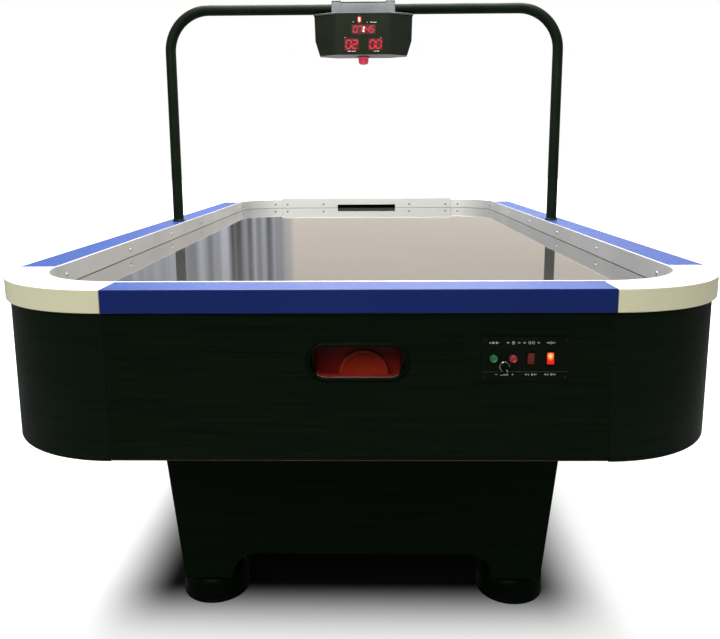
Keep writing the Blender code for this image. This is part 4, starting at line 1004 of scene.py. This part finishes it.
def build_arch():
    bend = 0.125
    collar = [
        (TUBE_RADIUS + reach, height)
        for reach, height in ((0.0001, 0.0003), (0.0001, 0.0056), (0.0006, 0.006), (0.0014, 0.0055),
                              (0.0022, 0.0038), (0.0028, 0.0026), (0.003, 0.0003))
    ]
    for node, side in (("left_post", -1), ("right_post", 1)):
        low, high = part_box(node)
        post_x = side * (max(abs(low.x), abs(high.x)) - POST_COLLAR_RADIUS)
        path = [(post_x, 0, low.z)]
        path += [(post_x - side * (bend - x), 0, BAR_Z - bend + z) for x, z in arc((0, 0), bend, 0, 90, 24)]
        path.append((low.x if side > 0 else high.x, 0, BAR_Z))
        show(f"{node}_tube", tube(path, TUBE_RADIUS), "black_tube", node, edge=0.0007, segments=2)
        place = Matrix.Translation((post_x, 0, RAIL_TOP))
        show(f"{node}_collar", turned(collar, 48, place, ring=True), "black_tube", smooth_angle=50)
    half = 0.34
    chamfer = 0.0009
    end = [(0.0, half), (TUBE_RADIUS - chamfer, half), (TUBE_RADIUS, half - chamfer)]
    along_x = Matrix.Translation((0, 0, BAR_Z)) @ Matrix.Rotation(math.pi / 2, 4, "Y")
    bar = turned(end + [(radius, -x) for radius, x in reversed(end)], 40, along_x)
    show("crossbar_tube", bar, "black_tube", "crossbar")


def build_clamp():
    low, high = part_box("scoreboard_clamp")
    bottom = low.z - BAR_Z
    bore = TUBE_RADIUS + 0.0003
    channel = 0.0092
    lip = math.degrees(math.acos(channel / bore))
    corner = 0.007

    def section(outline, start, end):
        return slab([outline], start, end, Matrix.Translation((0, 0, BAR_Z)) @ FACING_SIDE)

    def saddle(half, start, end):
        centre = half - corner
        outside = [(half, bottom)] + arc((centre, centre), corner, 0, 90, 8)
        outside += arc((-centre, centre), corner, 90, 180, 8) + [(-half, bottom)]
        inside = [(-channel, bottom)] + arc((0, 0), bore, 180 + lip, -lip, 32) + [(channel, bottom)]
        return section(outside + inside, start, end)

    def edging(half, start, end):
        """A thin band that wraps the two upper edges and the top."""
        right = (half - corner, half - corner)
        left = (-right[0], right[1])
        outer = corner + 0.0016
        inner = corner - 0.0004
        band = arc(right, outer, 40, 90, 8) + arc(left, outer, 90, 140, 8)
        band += arc(left, inner, 140, 90, 8) + arc(right, inner, 90, 40, 8)
        return section(band, start, end)

    reach = high.x - 0.03
    middle = saddle(0.019, -reach - 0.001, reach + 0.001)
    show("scoreboard_clamp_saddle", middle, "silver_cast", "scoreboard_clamp", edge=0.0008)
    show("scoreboard_clamp_edging", edging(0.019, -reach, reach), "black_tube")
    for name, side in (("left", -1), ("right", 1)):
        near, far = sorted((side * (reach + 0.0005), side * high.x))
        x = (near + far) / 2
        piece = f"scoreboard_clamp_{name}"
        show(f"{piece}_collar", saddle(0.0212, near, far), "silver_cast", edge=0.0012)
        show(f"{piece}_strap", saddle(0.0218, x - 0.0085, x + 0.0085), "silver_cast", edge=0.0006, segments=2)
        show(f"{piece}_edging", edging(0.0216, near + 0.001, far - 0.001), "black_tube")
        head = moved(screw_head(0.0034, 0.001), Matrix.Translation((x, 0, BAR_Z + 0.023)))
        show(f"{piece}_screws", head, "screw_steel")


# Scoreboard

def board_loop(half_width, z, fold, depth, end_depth, back):
    """The front half of the scoreboard's plan, with softened folds."""
    blend = 0.1
    end = Vector((half_width, -end_depth))
    corner = Vector((fold, -depth))
    before = corner.lerp(end, blend)
    after = corner - Vector((fold * blend, 0))
    right = [(half_width, back), tuple(end)]
    right += [tuple(before.lerp(corner, t).lerp(corner.lerp(after, t), t)) for t in (0, 0.25, 0.5, 0.75, 1)]
    return [(x, y, z) for x, y in right + [(-x, y) for x, y in reversed(right)]]


def build_scoreboard():
    low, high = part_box("scoreboard_front_shell")
    depth = -low.y
    levels = (
        (high.x + 0.0004, high.z, 0.0838, depth + 0.0002, 0.0144),
        (high.x + 0.002, high.z - 0.0018, 0.0845, depth + 0.0018, 0.016),
        (high.x + 0.002, high.z - 0.0038, 0.0845, depth + 0.0018, 0.016),
        (high.x - 0.0008, high.z - 0.005, 0.0835, depth, 0.014),
        (0.149, low.z + 0.0435, 0.0835, depth, 0.014),
        (0.1355, low.z, 0.0835, depth, 0.014),
    )
    shell = loft([board_loop(*level, high.y) for level in levels])
    for side, turn in ENDS:
        node = f"scoreboard_{side}_shell"
        show(f"{node}_case", moved(shell, turn), "scoreboard_plastic", node, edge=0.0006, segments=2)
        build_display(side, -depth, turn)


def segment_digit(value, centre, height, slant=0.1):
    """Lit and unlit bars of a seven-segment digit, as flat outlines in the XZ plane."""
    lit_bars = {0: "abcdef", 2: "abged", 4: "fgbc", 5: "afgcd", 7: "abc"}
    bars = {"a": (0, 1), "g": (0, 0), "d": (0, -1), "b": (1, 0.5), "c": (1, -0.5), "f": (-1, 0.5),
            "e": (-1, -0.5)}
    half_x = height * 0.27
    t = height * 0.07
    half_z = height / 2 - t
    lit = []
    dark = []
    for key, (across, rise) in bars.items():
        reach = (half_z / 2 if across else half_x) - height * 0.035
        bar = [(-reach, 0), (t - reach, t), (reach - t, t), (reach, 0), (reach - t, -t), (t - reach, -t)]
        if across:
            bar = [(x, z) for z, x in bar]
        bar = [(half_x * across + x, half_z * rise + z) for x, z in bar]
        slanted = [(centre[0] + x + slant * z, centre[1] + z) for x, z in bar]
        (lit if key in lit_bars[value] else dark).append(slanted)
    return lit, dark


def build_display(side, face_y, turn):
    """The smoked window with the time, the two scores, their small marks and the service light."""
    glass = 0.0006
    film = 0.0002
    proud = 0.0004
    clock_z = 1.387
    score_z = 1.343
    finishes = {"window": "smoked_window", "filter": "red_filter", "lit": "led_segment", "dark": "led_dark",
                "halo": "led_halo", "hot": "led_hot", "ink": "label_ink"}
    parts = {kind: [] for kind in finishes}

    def plate(kind, outline, start, thickness):
        mesh = slab([outline], -face_y + start, -face_y + start + thickness, FACING_FRONT)
        parts[kind].append(moved(mesh, turn))

    plate("window", rounded_rectangle((0, 1.3715), 0.079, 0.0545, 0.004), -0.0002, glass + 0.0002)
    for x, z, half_x, half_z in ((0.001, clock_z, 0.0365, 0.0138), (-0.0355, score_z, 0.022, 0.0172),
                                 (0.0375, score_z, 0.022, 0.0172)):
        plate("filter", rounded_rectangle((x, z), half_x, half_z, 0.002), glass, film)
    clock = ((0, -0.0245), (7, -0.0105), (4, 0.0125), (5, 0.0265))
    scores = ((0, -0.0455), (2, -0.0265), (0, 0.0275), (0, 0.0465))
    for digits, z, height in ((clock, clock_z, 0.0205), (scores, score_z, 0.0275)):
        for value, x in digits:
            lit, dark = segment_digit(value, (x, z), height)
            for outline in lit:
                plate("lit", outline, glass + film, proud)
            for outline in dark:
                plate("dark", outline, glass + film, proud / 2)
    for rise in (-0.0045, 0.0045):
        dot = rounded_rectangle((0.001 + 0.1 * rise, clock_z + rise), 0.0026, 0.004, 0.0025, 5)
        plate("hot", dot, glass + film, proud)
    plate("halo", rounded_rectangle((-0.012, 1.415), 0.0066, 0.011, 0.0064, 8), glass, 0.0008)
    plate("hot", rounded_rectangle((-0.012, 1.4156), 0.003, 0.0066, 0.0029, 5), glass + 0.0006, 0.0012)
    for x, z, width in ((0.03, 1.4075, 0.02), (0.012, 1.4075, 0.003), (-0.031, 1.409, 0.003),
                        (-0.036, 1.3228, 0.026), (0.04, 1.3228, 0.018), (-0.056, 1.363, 0.003),
                        (0.053, 1.362, 0.003)):
        count = max(1, round(width / 0.004))
        for i in range(count):
            middle = (x - width / 2 + (i + 0.5) * width / count, z)
            half_z = 0.001 + 0.0005 * (i % 2)
            plate("ink", rounded_rectangle(middle, 0.0013, half_z, 0.0003, 2), glass, 0.0001)
    for kind, meshes in parts.items():
        show(f"scoreboard_{side}_{kind}", joined(meshes), finishes[kind])


def build_beacon():
    low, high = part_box("beacon_lens")
    radius = (high.x - low.x) / 2
    length = high.z - low.z
    ribs = 20
    steps = ribs * 6

    def ribbed_loop(share, drop, ribbed):
        waves = [0.5 - 0.5 * math.cos(2 * math.pi * ribs * i / steps) for i in range(steps)]
        return polar_loop([radius * share - 0.0007 * ribbed * wave for wave in waves], high.z - drop)

    sections = (
        (0.99, 0.0, 0.0), (1.0, 0.0006, 0.0), (1.0, 0.0034, 0.0), (0.96, 0.004, 0.0), (0.955, 0.005, 0.5),
        (0.93, length * 0.45, 1.0), (0.86, length * 0.78, 1.0), (0.76, length * 0.9, 0.6),
        (0.56, length * 0.98, 0.2), (0.25, length, 0.0),
    )
    dome = loft([ribbed_loop(*section) for section in sections])
    show("beacon_lens_dome", dome, "red_lens", "beacon_lens", smooth_angle=50)
    collar = [
        (radius * share, height)
        for share, height in ((0.94, -0.0001), (1.0, -0.0001), (1.1, -0.0005), (1.1, -0.003),
                              (1.02, -0.004), (0.94, -0.004))
    ]
    place = Matrix.Translation((0, 0, high.z))
    show("beacon_collar", turned(collar, 48, place, ring=True), "scoreboard_plastic", smooth_angle=40)


# Stage

def build_floor():
    """Pale paint. For the camera it is white far off and has a painted shadow, a soft dark patch round the table's
    feet.
    """
    bm = bmesh.new()
    bmesh.ops.create_grid(bm, x_segments=1, y_segments=1, size=30.0)
    floor = placed(bpy.data.objects.new("studio_floor", mesh_of(bm)))
    finish = Finish()
    finish.material.name = "studio_floor_painted_shadow"
    x, y, _ = finish.parts_of(finish.coords)

    def open_beyond(axis, outer, inner):
        return finish.fit(finish.size_of(axis), outer, inner, interpolation="SMOOTHSTEP")

    # painted shadow: dark under the table, fading out round the pedestals' feet
    shade = finish.times(open_beyond(finish.plus(x, 0.022), 0.62, 0.42), open_beyond(y, 1.00, 0.76))
    lit = finish.minus(1.0, shade)
    distant = finish.fit(finish.distance(x, y), 1.5, 3.0)
    camera_ray = finish.camera_ray()
    pale = (0.3, 0.3, 0.3)
    finish.set(Base_Color=finish.mix(camera_ray, pale, finish.mix(lit, (0.004, 0.004, 0.004), pale)))
    finish.set(Roughness=finish.uneven(0.75, 0.85, 3.0), Specular_IOR_Level=0.1, Emission_Color=WHITE)
    finish.set(Emission_Strength=finish.times(finish.plus(finish.times(lit, 0.76), distant), camera_ray))
    floor.data.materials.append(finish.material)


def build_world():
    """White behind the table for the camera. Reflections see a dim room, paler at the back, with
    the folds of a curtain at the left."""
    world = bpy.data.worlds.new("studio_world")
    bpy.context.scene.world = world
    world.use_nodes = True
    nodes = Nodes(world.node_tree)
    x, y, z = nodes.parts_of(nodes.add("ShaderNodeTexCoord")["Generated"])
    camera_ray = nodes.camera_ray()
    heading = nodes.math("ARCTAN2", x, y)
    folds = {"Scale": 1.0, "Detail": 1.5, "W": nodes.times(heading, 46.0)}
    folds = nodes.add("ShaderNodeTexNoise", folds, noise_dimensions="1D")["Fac"]
    pleats = nodes.fit(folds, 0.4, 0.61, 0.07, 0.84)
    cloth = nodes.fit(nodes.fit(heading, -0.27, -0.19, 0.3, 1.0), 0.0, 1.0, 0.6, pleats)
    at_left = nodes.times(nodes.fit(heading, -0.105, -0.128), nodes.fit(z, 0.55, 0.4))
    at_left = nodes.times(at_left, nodes.fit(y, 0.0, 0.2))
    room = nodes.times(nodes.fit(y, -0.35, 0.45, 0.25, 0.73), nodes.fit(at_left, 0.0, 1.0, 1.0, cloth))
    warmth = nodes.times(nodes.fit(y, 0.0, 0.3), nodes.fit(z, 0.5, 0.3))
    tint = nodes.mix(at_left, nodes.mix(warmth, WHITE, (1.0, 0.9, 0.78)), (0.84, 0.88, 1.0))
    background = nodes.tree.nodes["Background"]
    nodes.feed(background.inputs["Strength"], nodes.fit(camera_ray, 0.0, 1.0, room, 1.0))
    nodes.feed(background.inputs["Color"], nodes.mix(camera_ray, tint, WHITE))


def build_lights():
    for name, at, target, size, power in (
        ("overhead_softbox", (0.0, 0.5, 3.4), (0.0, 0.3, 0.0), (2.6, 4.6), 450),
        ("rear_softbox", (0.0, 4.2, 2.6), (0.0, 0.0, 0.7), (4.0, 1.8), 22),
        ("front_fill", (-1.1, -4.6, 3.4), (0.0, -1.1, 0.7), (3.2, 2.0), 92),
    ):
        light = bpy.data.lights.new(name, "AREA")
        light.shape = "RECTANGLE"
        light.size, light.size_y = size
        light.energy = power
        obj = placed(bpy.data.objects.new(name, light))
        obj.location = at
        obj.rotation_euler = (Vector(target) - Vector(at)).to_track_quat("-Z", "Y").to_euler()


def build_camera():
    camera = bpy.data.cameras.new("camera")
    camera.sensor_width = 36.0
    camera.lens = 35.95
    camera.shift_y = -0.056
    obj = placed(bpy.data.objects.new("camera", camera))
    obj.location = (0.0216, -2.3327, 1.0034)
    yaw = Matrix.Rotation(math.radians(0.891), 4, "Z")
    pitch = Matrix.Rotation(math.radians(90.0 - 9.658), 4, "X")
    roll = Matrix.Rotation(math.radians(-0.296), 4, "Z")
    obj.rotation_euler = (yaw @ pitch @ roll).to_euler()
    bpy.context.scene.camera = obj
    bpy.context.scene.view_settings.view_transform = "Standard"


for build in (
    keep_plain_nodes, build_corners, build_straight_walls, build_goal_chutes, build_panel_edges,
    build_screws, build_feet, build_pockets, build_pocket_lips, build_puck, build_control_plate,
    build_buttons, build_knob, build_switches, build_legends, build_arch, build_clamp, build_scoreboard,
    build_beacon, build_floor, build_world, build_lights, build_camera,
):
    build()
